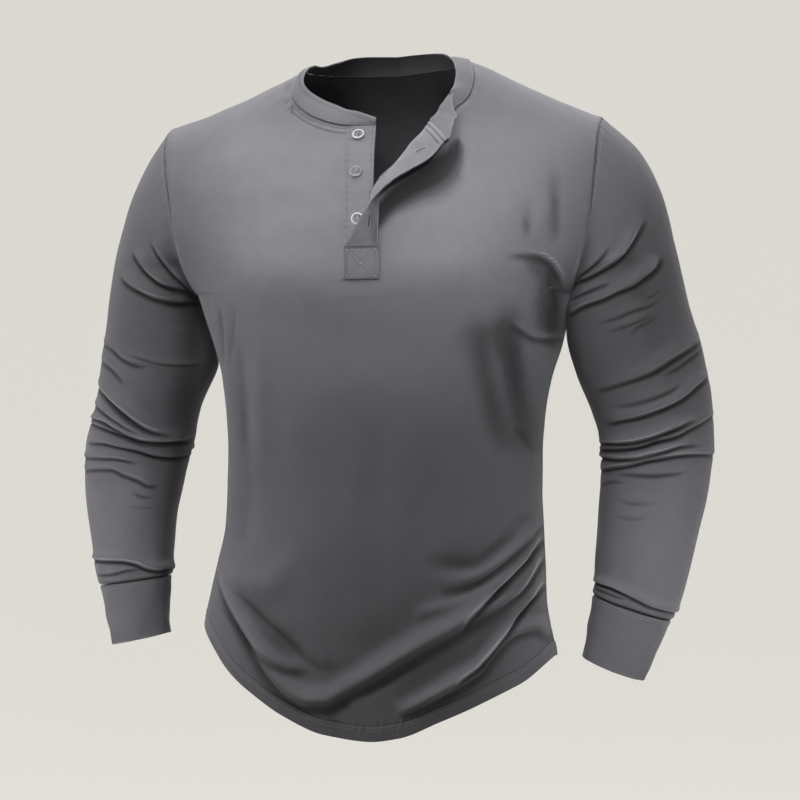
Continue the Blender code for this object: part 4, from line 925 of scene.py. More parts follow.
def fold_lift(x, z, folds):
    """Height of the folds over points that are seen from the front, and their shade."""
    lift = np.zeros(np.shape(x))
    shade = np.zeros(np.shape(x))
    flat, shade_flat = lift.reshape(-1), shade.reshape(-1)
    places = np.stack([np.ravel(x), np.ravel(z)], -1)
    for kind, lines in folds.items():
        for fold in lines.values():
            length = run_length(fold[:, :2])
            at = np.linspace(0, length[-1], int(length[-1] / FOLD_STEP) + 2)
            path = np.stack([curve(length, c, at) for c in fold[:, :2].T], -1)
            course = unit(np.gradient(path, axis=0))
            widths = curve(length, fold[:, 3], at)
            margin = 5 * widths.max()
            close = np.all((places > path.min(0) - margin) & (places < path.max(0) + margin), axis=1)
            close = np.nonzero(close)[0]
            apart = places[close, None] - path
            near = np.argmin(np.sum(apart ** 2, -1), -1)
            apart = apart[np.arange(len(close)), near]
            side = course[near]
            width = widths[near]
            above = (side[:, 0] * apart[:, 1] - side[:, 1] * apart[:, 0]) / width
            at_end = (near == 0) | (near == len(at) - 1)
            beyond = np.sum(side * apart, -1) / width * at_end
            depth = curve(length, fold[:, 2], at)[near] * np.exp(-beyond ** 2)
            flat[close] += depth * across_fold(above, KINDS[kind])
            # Painted shade and highlight along the fold, as strong as the fold is deep
            shade_flat[close] += np.tanh(depth / FULL_SHADE) * across_fold(above, SHADES[kind])
    return lift, shade


def unevenness(x, z, seed, length, height):
    """Slight waves that no worn cloth is without."""
    draw = np.random.default_rng(seed)
    wave = np.zeros(np.shape(x))
    for _ in range(7):
        turn = draw.uniform(0, math.pi)
        long = length * draw.uniform(0.7, 1.5)
        wave += np.sin(2 * math.pi * (x * math.cos(turn) + z * math.sin(turn)) / long
                       + draw.uniform(0, 2 * math.pi))
    return wave * height / 7 ** 0.5


def puckers(run, away, seed, pitch, height, depth):
    """Small gathers beside a line of stitching: run along it, away from it."""
    draw = np.random.default_rng(seed)
    wave = sum(np.sin(2 * math.pi * run / (pitch * draw.uniform(0.7, 1.6)) + draw.uniform(0, 6))
               for _ in range(4)) / 2
    return height * wave * bell(away, depth)


def seam_dip(away):
    """Cloth drawn in where two pieces are sewn together, with a soft lip beside it."""
    lip = SEAM_LIP * bell(away - SEAM_LIP_PLACE, SEAM_LIP_SPREAD)
    return lip - SEAM_DEPTH * bell(away, SEAM_SPREAD)


def distances(points):
    """Distances on the cloth from its first column and from its first row."""
    across = np.linalg.norm(np.diff(points, axis=1), axis=-1)
    up = np.linalg.norm(np.diff(points, axis=0), axis=-1)
    zero = np.zeros((len(points), 1))
    return (np.concatenate([zero, np.cumsum(across, 1)], 1),
            np.concatenate([np.zeros((1, points.shape[1])), np.cumsum(up, 0)]))


# ---------------------------------------------------------------- cloth pieces

def faint(x):
    """Strength of the marks beside the neck, weak on the wearer's left."""
    return 1 - NECK_FADE * smooth((x - NECK_FADE_FROM) / NECK_FADE_OVER)


def from_neck(x, z):
    """Distance of front points from the neck seam on both sides."""
    near = np.full(np.shape(x), 1.0)
    for seam in (NECK_SEAM, NECK_SEAM_LEFT):
        for px, pz in along(line_of(seam, "x", "z"), np.linspace(0, 1, 120)):
            near = np.minimum(near, np.hypot(x - px, z - pz))
    return near


def dressed_panel(side):
    """Points and normals of the front or back with its folds, seams and hem."""
    points = panel_points(side)
    u = column_positions()
    rows = np.arange(len(points))[:, None]
    sign = 1 if side == "front" else -1
    x, z = points[..., 0], points[..., 2]
    across, up = distances(points)
    to_side = np.minimum(across, across[:, -1:] - across)
    folds = FRONT_FOLDS if side == "front" else BACK_FOLDS
    normal = grid_normals(points) * sign
    normal[:, [0, -1], 1] *= rows > SKIRT_ROWS
    normal[-1, :, 1] = 0
    normal = unit(normal)
    hold = 1 - np.abs(u) ** SEAM_HOLD
    calm = smooth(to_side / CALM_EDGE) * smooth((up[-1] - up) / CALM_EDGE)
    seed = 11 if side == "front" else 12
    lift, shade = fold_lift(x, z, folds)
    lift = lift * hold + unevenness(x, z * 0.6, seed, *PANEL_WAVES) * calm
    lift += seam_dip(to_side)
    hem = bell(up - HEM_TURN, HEM_SPREAD)
    lift += HEM_STEP * smooth((HEM_TURN - up) / HEM_EASE) - HEM_GROOVE * hem
    lift += puckers(across, up - HEM_TURN, seed + 1, *HEM_PUCKERS) * calm
    high = smooth((rows - SKIRT_ROWS) / ARMPIT_ROWS)
    lift += puckers(up, to_side, seed + 2, *SIDE_PUCKERS) * high
    if side == "front":
        away = from_neck(x, z)
        lift += puckers(across, away - 5 * MM, seed + 3, *NECK_PUCKERS)
        for place, size, tone in NECK_RIDGES:
            ridge = bell(away - place, NECK_RIDGE_SPREAD) * faint(x)
            lift += size * ridge
            shade += tone * ridge
        lift += puckers(z, np.abs(x + 20 * MM), seed + 4, *SLIT_PUCKERS) * smooth((z + 0.25) / (10 * MM))
    shade -= 0.5 * bell(to_side, 2.5 * MM) + 0.7 * hem
    for away in HEM_ROWS:
        shade += 0.4 * bell(up - away, ROW_SPREAD)
    points = points + normal * lift[..., None]
    normal = unit(grid_normals(points) * sign)
    return points, normal, shade


def dressed_sleeve(side, loop):
    """Points and normals of a sleeve with its folds, from the armhole to the cuff seam."""
    rows = np.linspace(0, 1, SLEEVE_ROWS + 1)[:, None]
    points = tube_points(SLEEVES[side], rows[:, 0], loop)
    normal = tube_normals(points)
    angles = round_angles()
    forward = smooth(0.5 + 0.7 * np.sin(angles))
    inner_side = np.maximum(0, -np.cos(angles))
    near_armpit = 1 - np.clip(rows / ARMPIT_HOLD, 0, 1)
    ends = 1 - np.abs(2 * rows - 1) ** (4 * SEAM_HOLD)
    hold = (1 - near_armpit * inner_side) * ends
    x, z = points[..., 0], points[..., 2]
    front_folds, back_folds = SLEEVE_FOLDS[side]
    outline = 1 - OUTLINE_HOLD * np.abs(np.cos(angles)) ** 8
    before, behind = fold_lift(x, z, front_folds), fold_lift(x, z, back_folds)
    lift = (before[0] * forward + behind[0] * (1 - forward)) * outline
    shade = before[1] * forward + behind[1] * (1 - forward)
    seed = 31 if side == "left" else 32
    around = angles * SLEEVE_RADIUS
    down = distances(points)[1]
    lift += unevenness(around + 0 * z, down, seed, *SLEEVE_WAVES)
    lift = lift * hold + seam_dip(down) + seam_dip(down[-1:] - down)
    lift += puckers(around, down, seed + 1, *ARMHOLE_PUCKERS) * smooth(down / (1.5 * MM))
    left = down[-1:] - down
    lift += puckers(around, left, seed + 2, *SLEEVE_END_PUCKERS) * smooth(left / (4 * MM))
    shade -= 0.6 * bell(down, 2.5 * MM) + 0.7 * bell(left, 2 * MM)
    points = points + normal * lift[..., None]
    return points, tube_normals(points), shade


def dressed_cuff(side):
    """Points and normals of a doubled cuff, slightly gathered by its seam."""
    rows = np.linspace(0, 1, CUFF_ROWS + 1)
    points = tube_points(CUFFS[side], rows)
    normal = tube_normals(points)
    down = distances(points)[1]
    around = round_angles() * CUFF_RADIUS
    seed = 41 if side == "left" else 42
    lift = unevenness(around + 0 * down, down, seed, *CUFF_WAVES)
    lift += puckers(around, down, seed + 1, *CUFF_PUCKERS) * smooth(down / (3 * MM))
    lift = lift * smooth(down / (3 * MM)) + seam_dip(down)
    lift += 0.4 * MM * bell(down[-1:] - down, 3 * MM)
    shade = 0.5 * bell(down[-1:] - down, 2 * MM) - 0.7 * bell(down, 2 * MM)
    points = points + normal * lift[..., None]
    return points, tube_normals(points), shade


def tube_normals(points):
    """Outward normals of a tube."""
    normal = grid_normals(points, closed=True)
    outward = points - points.mean(1, keepdims=True)
    return normal if np.sum(normal * outward) > 0 else -normal


def cloth_piece(name, node, points, normal, painted_light_and_shade, finish, thick, closed=False, leave_out=None,
                rounding=0.0, lit=None):
    """Thin cloth for a CAD node: outer side on a grid of points, its thickness inward."""
    if closed:
        points, normal, painted_light_and_shade = (np.concatenate([grid, grid[:, :1]], 1)
                                for grid in (points, normal, painted_light_and_shade))
    rows, columns = points.shape[:2]
    painted_light_and_shade = np.clip(painted_light_and_shade, -2, 1)
    lit = np.zeros((rows, columns)) if lit is None else lit
    across, up = distances(points)
    across = across - across[:, columns // 2:columns // 2 + 1]
    up = up.mean(1, keepdims=True) + 0 * up
    mesh = bmesh.new()
    bmesh.ops.create_grid(mesh, x_segments=columns - 1, y_segments=rows - 1, size=0.5)
    lay = mesh.loops.layers.uv.new("cloth")
    # Painted shade and highlight on each point: darker in folds, hollows and cast shadows, lighter on
    # crests; lit marks where the inner side is out in the light
    shade = mesh.verts.layers.float.new("painted_light_and_shade")
    open_side = mesh.verts.layers.float.new("lit")
    place = {}
    for vert in mesh.verts:
        c = round((vert.co.x + 0.5) * (columns - 1))
        r = round((vert.co.y + 0.5) * (rows - 1))
        place[vert] = (r, c)
    for face in mesh.faces:
        for loop in face.loops:
            r, c = place[loop.vert]
            loop[lay].uv = (across[r, c], up[r, c])
    if leave_out:
        out = [f for f in mesh.faces if leave_out(*np.min([place[v] for v in f.verts], axis=0))]
        bmesh.ops.delete(mesh, geom=out, context="FACES")
    for vert in mesh.verts:
        vert.co = points[place[vert]]
        vert[shade] = float(painted_light_and_shade[place[vert]])
        vert[open_side] = float(lit[place[vert]])
    mesh.normal_update()
    facing = sum(v.normal.dot(Vector(normal[place[v]])) for v in mesh.verts)
    if facing < 0:
        bmesh.ops.reverse_faces(mesh, faces=mesh.faces)
    if closed:
        seam = [v for v in mesh.verts if v.is_boundary]
        bmesh.ops.remove_doubles(mesh, verts=seam, dist=MERGE)
    piece = riding(name, mesh_of(name, mesh, finish[0]))
    piece.data.materials.append(finish[1])
    wall = piece.modifiers.new("cloth thickness", "SOLIDIFY")
    wall.thickness = thick
    wall.offset = -1
    # Inner faces take the second material, painted darker as shade
    wall.material_offset = 1
    wall.material_offset_rim = int(not closed and thick == CLOTH)
    if rounding:
        soften(piece, "turned edge", rounding, 3, 50)
    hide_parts(node)
    return piece


def in_scene(name, data):
    """New object of the scene, at the origin."""
    thing = bpy.data.objects.new(name, data)
    bpy.context.scene.collection.objects.link(thing)
    return thing


def mesh_of(name, work, material):
    """Smooth mesh with its finish, from finished bmesh work."""
    data = bpy.data.meshes.new(name)
    work.to_mesh(data)
    work.free()
    data.shade_smooth()
    data.materials.append(material)
    return data


def riding(name, data):
    """Piece of the shirt, which rides with its one body."""
    piece = in_scene(name, data)
    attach(piece, "root")
    return piece


def lathe(profile, steps, merge):
    """Shape turned round the upright axis from a line of places out and up."""
    work = bmesh.new()
    verts = [work.verts.new((out, 0, up)) for out, up in profile]
    edges = [work.edges.new(pair) for pair in zip(verts, verts[1:])]
    bmesh.ops.spin(work, geom=verts + edges, axis=(0, 0, 1), cent=(0, 0, 0), angle=2 * math.pi,
                   steps=steps, use_merge=True)
    bmesh.ops.remove_doubles(work, verts=work.verts, dist=merge)
    bmesh.ops.recalc_face_normals(work, faces=work.faces)
    return work


def soften(piece, name, width, segments, angle):
    """Narrow round along the sharp edges of a piece."""
    edge = piece.modifiers.new(name, "BEVEL")
    edge.width = width
    edge.segments = segments
    edge.limit_method = "ANGLE"
    edge.angle_limit = math.radians(angle)


# ---------------------------------------------------------------- sewn lines

def level_line(points, normal, away, first=0, last=None, backwards=False):
    """Line across a grid at a distance from its first row, or from its last one."""
    if backwards:
        points, normal = points[::-1], normal[::-1]
    points, normal = points[:, first:last], normal[:, first:last]
    up = distances(points)[1]
    found = []
    for c in range(points.shape[1]):
        place = [np.interp(away, up[:, c], points[:, c, k]) for k in range(3)]
        aside = [np.interp(away, up[:, c], normal[:, c, k]) for k in range(3)]
        found.append(place + aside)
    found = np.array(found)
    return found[:, :3], unit(found[:, 3:])


def upright_line(points, normal, away, first=0, last=None, backwards=False):
    """Line up a grid at a distance from its first column, or from its last one."""
    return level_line(points.transpose(1, 0, 2), normal.transpose(1, 0, 2), away, first, last, backwards)


def stitched(line, aside, pitch=PITCH, size=(1.05, 0.26, 0.2), lift=0.1 * MM, loop=False):
    """Places of the stitches of one sewn line: centre and three half axes of each."""
    if loop:
        line = np.concatenate([line, line[:1]])
        aside = np.concatenate([aside, aside[:1]])
    length = run_length(line)
    count = max(2, int(length[-1] / pitch))
    at = (np.arange(count) + 0.5) * length[-1] / count
    centre = np.stack([np.interp(at, length, c) for c in line.T], -1)
    out = unit(np.stack([np.interp(at, length, c) for c in aside.T], -1))
    ahead = np.stack([np.interp(at + 0.3 * pitch, length, c) for c in line.T], -1)
    behind = np.stack([np.interp(at - 0.3 * pitch, length, c) for c in line.T], -1)
    course = unit(ahead - behind)
    across = unit(np.cross(out, course))
    out = np.cross(course, across)
    scale = np.array(size) * MM
    return np.concatenate([(centre + out * lift)[:, None], course[:, None] * scale[0],
                           across[:, None] * scale[1], out[:, None] * scale[2]], 1)


def stitching(name, groups, material):
    """All the stitches of some sewn lines as one piece of small rounded capsules."""
    seed = bmesh.new()
    bmesh.ops.create_uvsphere(seed, u_segments=6, v_segments=5, radius=1)
    seed.verts.index_update()
    corner = np.array([v.co[:] for v in seed.verts])[:, [2, 0, 1]]
    corner[:, 0] = np.sign(corner[:, 0]) * np.abs(corner[:, 0]) ** 0.7
    faces = [[v.index for v in f.verts] for f in seed.faces]
    seed.free()
    places = np.concatenate(groups)
    verts = places[:, :1] + np.einsum("vk,skd->svd", corner, places[:, 1:])
    many = [[i + n * len(corner) for i in f] for n in range(len(places)) for f in faces]
    data = bpy.data.meshes.new(name)
    data.from_pydata(verts.reshape(-1, 3).tolist(), [], many)
    data.shade_smooth()
    data.materials.append(material)
    return riding(name, data)


# ---------------------------------------------------------------- neckband and placket

def off_body(x, z, out):
    """Point a distance in front of the body."""
    return np.array([x, float(cloth_y(np.array([x]), np.array([z]), "front")[0]) - out, z])


def flap_seam_points(count):
    """Points across the flap where neckband and upper strip meet."""
    return through([off_body(*row) for row in line_of(FLAP_SEAM, "x", "z", "out")], count)


def turned_band(station, part):
    """Point of the turned-out stretch of the neckband, on its fold or its edge."""
    place = [curve(BAND_TURN["station"], BAND_TURN[part + k], station) for k in ("_x", "_z", "_out")]
    return off_body(*place)


def neckband_points(front, back):
    """Grid of the neckband: a row for each station, from its seam to its edge."""
    seam = [front[-1, c] for c in range(SLIT, SIDE_COLUMNS - 1, -1)]
    seam += [back[-1, c] for c in range(SIDE_COLUMNS + 1, NECK_LEFT)]
    seam += [front[-1 - k, NECK_LEFT] for k in range(YOKE_ROWS + 1)]
    flap = flap_seam_points(4 * STATION + 1)
    seam += list(np.linspace(seam[-1], flap[0], STATION + 1)[1:-1])
    seam = np.array(seam + list(flap))
    first_turned = int(BAND_TURN["station"][0])
    middles, edges = [], []
    for station in range(len(seam) // STATION + 1):
        foot = seam[station * STATION]
        if station < first_turned:
            inward = unit(np.array(BAND_CENTRE) - foot[:2])
            lean = curve(BAND["station"], BAND["inward"], station)
            rise = curve(BAND["station"], BAND["up"], station)
            edge = np.append(inward * lean, rise)
            middle = edge / 2 + 0.0012 * unit(np.append(-inward, 0.3))
        else:
            middle = turned_band(station, "fold") - foot
            edge = turned_band(station, "edge") - foot
        middles.append(middle)
        edges.append(edge)
    middle = seam + through(middles, len(seam))
    edge = seam + through(edges, len(seam))
    t = np.linspace(0, 1, BAND_ACROSS // 2 + 1)[:, None, None]
    return bent(t, seam, middle, edge).transpose(1, 0, 2)


def flap_points():
    """Grid of the upper strip: a row for each height, from its seam to its free edge."""
    top = flap_seam_points(BAND_ACROSS + 1)
    lines = []
    for part, end in zip(("seam", "middle", "edge"), top[::BAND_ACROSS // 2]):
        places = line_of(FLAP, part + "_x", part + "_z", part + "_out")
        lines.append(through([off_body(*place) for place in places] + [end], FLAP_ROWS + 1))
    t = np.linspace(0, 1, BAND_ACROSS + 1)[:, None]
    rows = [bent(t, *places) for places in zip(*lines)]
    rows[-1] = top
    return np.array(rows)


def dressed_band(front, back):
    """Points and normals of the neckband, and where it is turned out and lit."""
    band = neckband_points(front, back)
    outward = grid_normals(band)
    away, run = distances(band)
    swell = 0.4 * MM * np.sin(np.clip(away / np.maximum(away[:, -1:], 1e-6), 0, 1) * math.pi)
    gather = puckers(run, away, 51, *BAND_PUCKERS)
    band = band + outward * (swell + gather)[..., None]
    weak = faint(band[..., 0])
    to_top = away[:, -1:] - away
    shade = 0.9 * bell(to_top, 1.0 * MM) - 0.45 * weak * bell(to_top - 5 * MM, 3 * MM)
    shade = shade - 0.8 * weak * bell(away, 1.2 * MM)
    station = np.arange(len(band))[:, None] / STATION + 0 * away
    turned = smooth((station - BAND_TURN["station"][0] + 1.5) / 1.5)
    return band, unit(grid_normals(band)), shade, turned


def dressed_flap():
    """Points and normals of the turned-out upper strip, ridged where the band ends on it."""
    flap = flap_points()
    face = -grid_normals(flap)
    across, up = distances(flap)
    wave = unevenness(across, up, 52, *FLAP_WAVES) * smooth(across / (8 * MM))
    edge = 0.35 * MM * bell(across[:, -1:] - across, 1.5 * MM)
    to_band = up[-1:] - up
    shade = 0.6 * bell(across[:, -1:] - across, 1.2 * MM)
    low = smooth((FLAP_FOOT_ROWS - np.arange(len(flap))[:, None]) / FLAP_FOOT_EASE)
    shade -= 0.9 * bell(across, 8 * MM) * low
    for place, size, tone in FLAP_RIDGES:
        ridge = bell(to_band - place, FLAP_RIDGE_SPREAD)
        wave -= size * ridge
        shade += tone * ridge
    flap = flap + face * (wave + edge)[..., None]
    return flap, unit(-grid_normals(flap)), shade


def straight_row(start, end, count, out, **how):
    """Stitches on a straight line over the front, a distance out from it."""
    line = np.array([off_body(x, z, out) for x, z in np.linspace(start, end, count)])
    return stitched(line, np.tile((0.0, -1.0, 0.0), (count, 1)), **how)


def strip_points(heights, rights, lefts, out):
    """Grid of a strip that lies on the front, a distance out from it."""
    t = np.linspace(0, 1, STRIP_COLUMNS + 1)
    x = rights[:, None] + (lefts - rights)[:, None] * t
    z = heights[:, None] + 0 * x
    y = cloth_y(x, z, "front")
    points = np.stack([x, y, z], -1)
    return points + grid_normals(points) * out


def four_hole_button(name, x, z, turn, rim_glint, material):
    """Turned button with a raised rim and four holes, and the stitches that sew it on flat."""
    span = BUTTON_RADIUS / 2
    up = off_body(x, z + span, 0) - off_body(x, z - span, 0)
    across = off_body(x + span, z, 0) - off_body(x - span, z, 0)
    normal = Vector(np.cross(across, up)).normalized()
    seat = Vector(off_body(x, z, 0)) + normal * (LIFT + STRIP + BUTTON_GAP)
    stand = (Matrix.Translation(seat) @ normal.to_track_quat("Z", "Y").to_matrix().to_4x4()
             @ Matrix.Rotation(turn, 4, "Z"))
    turned = lathe(line_of(BUTTON_SECTION, "out", "up") * (BUTTON_RADIUS, BUTTON_THICK), 64, MERGE)
    drill = bmesh.new()
    for hx, hy in HOLES:
        bmesh.ops.create_cone(drill, cap_ends=True, cap_tris=False, segments=20,
                              radius1=HOLE_RADIUS, radius2=HOLE_RADIUS, depth=4 * BUTTON_THICK,
                              matrix=Matrix.Translation((hx, hy, 0)))
    body = riding(name, mesh_of(name, turned, material))
    cutter = in_scene(name + "_drill", mesh_of(name + "_drill", drill, material))
    cut = body.modifiers.new("holes", "BOOLEAN")
    cut.object = cutter
    cut.operation = "DIFFERENCE"
    cut.solver = "EXACT"
    bpy.context.view_layer.update()
    depsgraph = bpy.context.evaluated_depsgraph_get()
    drilled = bpy.data.meshes.new_from_object(body.evaluated_get(depsgraph))
    body.modifiers.clear()
    body.data = drilled
    bpy.data.objects.remove(cutter)
    # Painted highlight on the top of the rim, as strong as each button shines
    painted_light_and_shade = drilled.attributes.new("painted_light_and_shade", "FLOAT", "POINT")
    for vert, mark in zip(drilled.vertices, painted_light_and_shade.data):
        out = math.hypot(vert.co.x, vert.co.y) / BUTTON_RADIUS
        on_rim, on_top = smooth((out - 0.72) / 0.08), smooth((vert.co.z / BUTTON_THICK - 0.4) / 0.3)
        mark.value = float(on_rim * on_top * rim_glint)
    drilled.transform(stand)
    soften(body, "worn rim", 0.08 * MM, 2, 40)
    places = []
    for y in (HOLES[0][1], -HOLES[0][1]):
        for shift in (-THREAD_APART, THREAD_APART):
            line = [(-THREAD_REACH, y + shift, THREAD_END), (0, y + shift, THREAD_MIDDLE),
                    (THREAD_REACH, y + shift, THREAD_END)]
            line = np.array([(stand @ Vector(p))[:] for p in line])
            aside = np.tile(np.array(normal[:]), (3, 1))
            places.append(stitched(line, aside, pitch=SHORT_PITCH, size=(1.25, 0.26, 0.26)))
    return body, places


def buttonhole(points, normal, row, share, length, tilt=0.0):
    """Closely worked stitches round a buttonhole, and a near-black sliver painted as the shade inside
    its narrow opening.
    """
    middle = round(share * (points.shape[1] - 1))
    centre, out = points[row, middle], unit(normal[row, middle])
    along_strip = unit(points[min(row + 3, len(points) - 1), middle] - points[row - 3, middle])
    across = unit(np.cross(out, along_strip))
    course = unit(along_strip * math.cos(tilt) + across * math.sin(tilt))
    aside = np.cross(out, course)
    places = []
    for side in (-1, 1):
        count = int(length / WORKED_PITCH)
        for k in range(count):
            p = centre + course * (k / (count - 1) - 0.5) * length + aside * side * WORKED_ASIDE
            places.append([p + out * 0.12 * MM, aside * 0.75 * MM, course * 0.24 * MM, out * 0.26 * MM])
    for end in (-1, 1):
        p = centre + course * end * (length / 2 + 0.3 * MM)
        for k in (-1, 0, 1):
            places.append([p + course * end * k * 0.3 * MM + out * 0.14 * MM, aside * 2.0 * MM,
                           course * 0.22 * MM, out * 0.28 * MM])
    opening = [[centre + out * 0.2 * MM, course * length / 2, aside * 0.75 * MM, out * 0.12 * MM]]
    return np.array(places), np.array(opening)


# ---------------------------------------------------------------- materials

class Board:
    """Shorthand for putting nodes on a board and joining them. A value is a number or a socket."""

    def __init__(self, tree):
        self.tree = tree

    def add(self, kind, **settings):
        """New node with its sockets and settings by name."""
        node = self.tree.nodes.new(kind)
        for key, value in settings.items():
            if key in node.inputs:
                self.put(node.inputs[key], value)
            else:
                setattr(node, key, value)
        return node

    def put(self, socket, value):
        if isinstance(value, bpy.types.NodeSocket):
            self.tree.links.new(value, socket)
        else:
            socket.default_value = value

    def fill(self, node, *values):
        """Fills the sockets of a node in their order and gives its output."""
        for socket, value in zip(node.inputs, values):
            self.put(socket, value)
        return node.outputs[0]

    def math(self, operation, *values):
        return self.fill(self.add("ShaderNodeMath", operation=operation), *values)

    def mix(self, share, one, other):
        node = self.add("ShaderNodeMix", data_type="RGBA")
        for number, value in ((0, share), (6, one), (7, other)):
            self.put(node.inputs[number], value)
        return node.outputs[2]

    def noise(self, where, scale, detail=2.0, rough=0.5):
        return self.add("ShaderNodeTexNoise", Vector=where, Scale=scale, Detail=detail,
                        Roughness=rough).outputs[0]

    def span(self, value, low, high, to_low, to_high):
        return self.fill(self.add("ShaderNodeMapRange"), value, low, high, to_low, to_high)


def group_of(name, inputs, outputs):
    """Empty node group with named sockets, and the boards' two ends."""
    group = bpy.data.node_groups.new(name, "ShaderNodeTree")
    for label, kind, value in inputs:
        socket = group.interface.new_socket(name=label, in_out="INPUT", socket_type=kind)
        if value is not None:
            socket.default_value = value
    for label, kind in outputs:
        group.interface.new_socket(name=label, in_out="OUTPUT", socket_type=kind)
    board = Board(group)
    return group, board, group.nodes.new("NodeGroupInput"), group.nodes.new("NodeGroupOutput")


def knit_group():
    """Plain knitting: rows of small V shaped loops, with a slightly hairy face."""
    group, b, start, end = group_of("jersey knit", [
        ("Place", "NodeSocketVector", None),
        ("Loop width", "NodeSocketFloat", 0.0007),
        ("Loop height", "NodeSocketFloat", 0.00055),
        ("Nap", "NodeSocketFloat", 0.5),
    ], [("Height", "NodeSocketFloat"), ("Mottle", "NodeSocketFloat")])
    apart = b.add("ShaderNodeSeparateXYZ", Vector=start.outputs["Place"])
    wander = b.noise(start.outputs["Place"], 260.0, 1.0)
    u = b.math("DIVIDE", apart.outputs[0], start.outputs["Loop width"])
    v = b.math("DIVIDE", apart.outputs[1], start.outputs["Loop height"])
    u = b.math("ADD", u, b.math("MULTIPLY", wander, 0.5))
    leg = b.math("ABSOLUTE", b.math("SUBTRACT", b.math("FRACT", u), 0.5))
    rise = b.math("ADD", v, b.math("MULTIPLY", leg, 1.6))
    loop = b.math("SINE", b.math("MULTIPLY", rise, 2 * math.pi))
    wale = b.math("COSINE", b.math("MULTIPLY", leg, 2 * math.pi))
    relief = b.math("ADD", b.math("MULTIPLY", loop, 0.5), b.math("MULTIPLY", wale, -0.35))
    hairs = b.noise(start.outputs["Place"], 3400.0, 2.0, 0.7)
    height = b.math("ADD", relief, b.math("MULTIPLY", b.math("SUBTRACT", hairs, 0.5),
                                          start.outputs["Nap"]))
    b.put(end.inputs["Height"], height)
    broad = b.noise(start.outputs["Place"], 55.0, 3.0, 0.6)
    fine = b.noise(start.outputs["Place"], 900.0, 2.0, 0.6)
    b.put(end.inputs["Mottle"], b.math("ADD", b.math("MULTIPLY", broad, 0.55),
                                      b.math("MULTIPLY", fine, 0.45)))
    return group


def crumple_group():
    """Shallow creases that washing and wearing leave in soft cotton."""
    group, b, start, end = group_of("worn crumple", [
        ("Place", "NodeSocketVector", None), ("Size", "NodeSocketFloat", 1.0),
    ], [("Height", "NodeSocketFloat")])
    stray = b.add("ShaderNodeTexNoise", Vector=start.outputs["Place"], Scale=24.0, Detail=1.0).outputs[1]
    wavy = b.fill(b.add("ShaderNodeVectorMath", operation="MULTIPLY_ADD"), stray, (0.02, 0.02, 0.02),
                  start.outputs["Place"])
    broad = b.noise(wavy, 30.0, 2.0, 0.5)
    ridge = b.math("ABSOLUTE", b.math("SUBTRACT", broad, 0.5))
    soft = b.noise(wavy, 75.0, 2.0, 0.55)
    height = b.math("ADD", b.math("MULTIPLY", ridge, -1.0), b.math("MULTIPLY", soft, 0.4))
    b.put(end.inputs["Height"], b.math("MULTIPLY", height, start.outputs["Size"]))
    return group


def use_group(board, group, **values):
    """Node group on a board, with its sockets filled by name."""
    node = board.tree.nodes.new("ShaderNodeGroup")
    node.node_tree = group
    for key, value in values.items():
        board.put(node.inputs[key.replace("_", " ")], value)
    return node


def settle(shader, **values):
    """Plain numbers and colours for a shader's own sockets."""
    for key, value in values.items():
        shader.inputs[key.replace("_", " ")].default_value = value


def blank(name):
    """New material, its board and its Principled shader."""
    material = bpy.data.materials.new(name)
    material.use_nodes = True
    return material, Board(material.node_tree), material.node_tree.nodes["Principled BSDF"]


def jersey(name, knit, crumple, loop, relief, inside=False):
    """Grey cotton jersey: knitted face, mottled yarn, painted highlights on fold crests and painted
    shade in hollows.
    """
    material, b, shader = blank(name)
    uv = b.add("ShaderNodeUVMap", uv_map="cloth").outputs[0]
    here = b.add("ShaderNodeTexCoord").outputs["Object"]
    face = use_group(b, knit, Place=uv, Loop_width=loop[0], Loop_height=loop[1], Nap=0.6)
    creases = use_group(b, crumple, Place=here, Size=1.0)
    # Painted shade and highlight from the points: lighter on crests, darker in hollows, black in cast
    # shadows
    painted_light_and_shade = b.add("ShaderNodeAttribute", attribute_name="painted_light_and_shade").outputs["Fac"]
    yarn = b.mix(b.span(face.outputs["Mottle"], 0.3, 0.7, 0.0, 1.0), *JERSEY_TONES)
    # Painted shade in the troughs of the small crumple creases
    yarn = b.mix(b.span(creases.outputs["Height"], 0.65, 0.3, 0.0, 0.16), yarn, HOLLOW_SHADE_TONE)
    crest = b.mix(b.span(painted_light_and_shade, 0.05, 0.8, 0.0, 0.5), yarn, CREST_HIGHLIGHT_TONE)
    crest = b.mix(b.span(painted_light_and_shade, 0.7, 1.0, 0.0, 0.7), crest, BRIGHT_HIGHLIGHT_TONE)
    tone = b.mix(b.span(painted_light_and_shade, -0.1, -0.9, 0.0, 0.85), crest, HOLLOW_SHADE_TONE)
    tone = b.mix(b.span(painted_light_and_shade, -1.0, -1.9, 0.0, 1.0), tone, SHADOW_TONE)
    # The inner side is painted dark as shade, except where it is turned out into the light
    if inside:
        lit = b.add("ShaderNodeAttribute", attribute_name="lit").outputs["Fac"]
        tone = b.mix(lit, INSIDE_SHADE_TONE, tone)
    b.put(shader.inputs["Base Color"], tone)
    b.put(shader.inputs["Roughness"], b.span(face.outputs["Mottle"], 0.3, 0.7, 0.84, 0.72))
    settle(shader, Specular_IOR_Level=0.3, Sheen_Weight=0.22, Sheen_Roughness=0.45,
           Sheen_Tint=(0.80, 0.82, 0.88, 1.0))
    broad = b.add("ShaderNodeBump", Strength=0.42, Distance=0.001, Height=creases.outputs["Height"])
    fine = b.add("ShaderNodeBump", Strength=relief, Distance=0.00025, Height=face.outputs["Height"],
                 Normal=broad.outputs[0])
    b.put(shader.inputs["Normal"], fine.outputs[0])
    return material


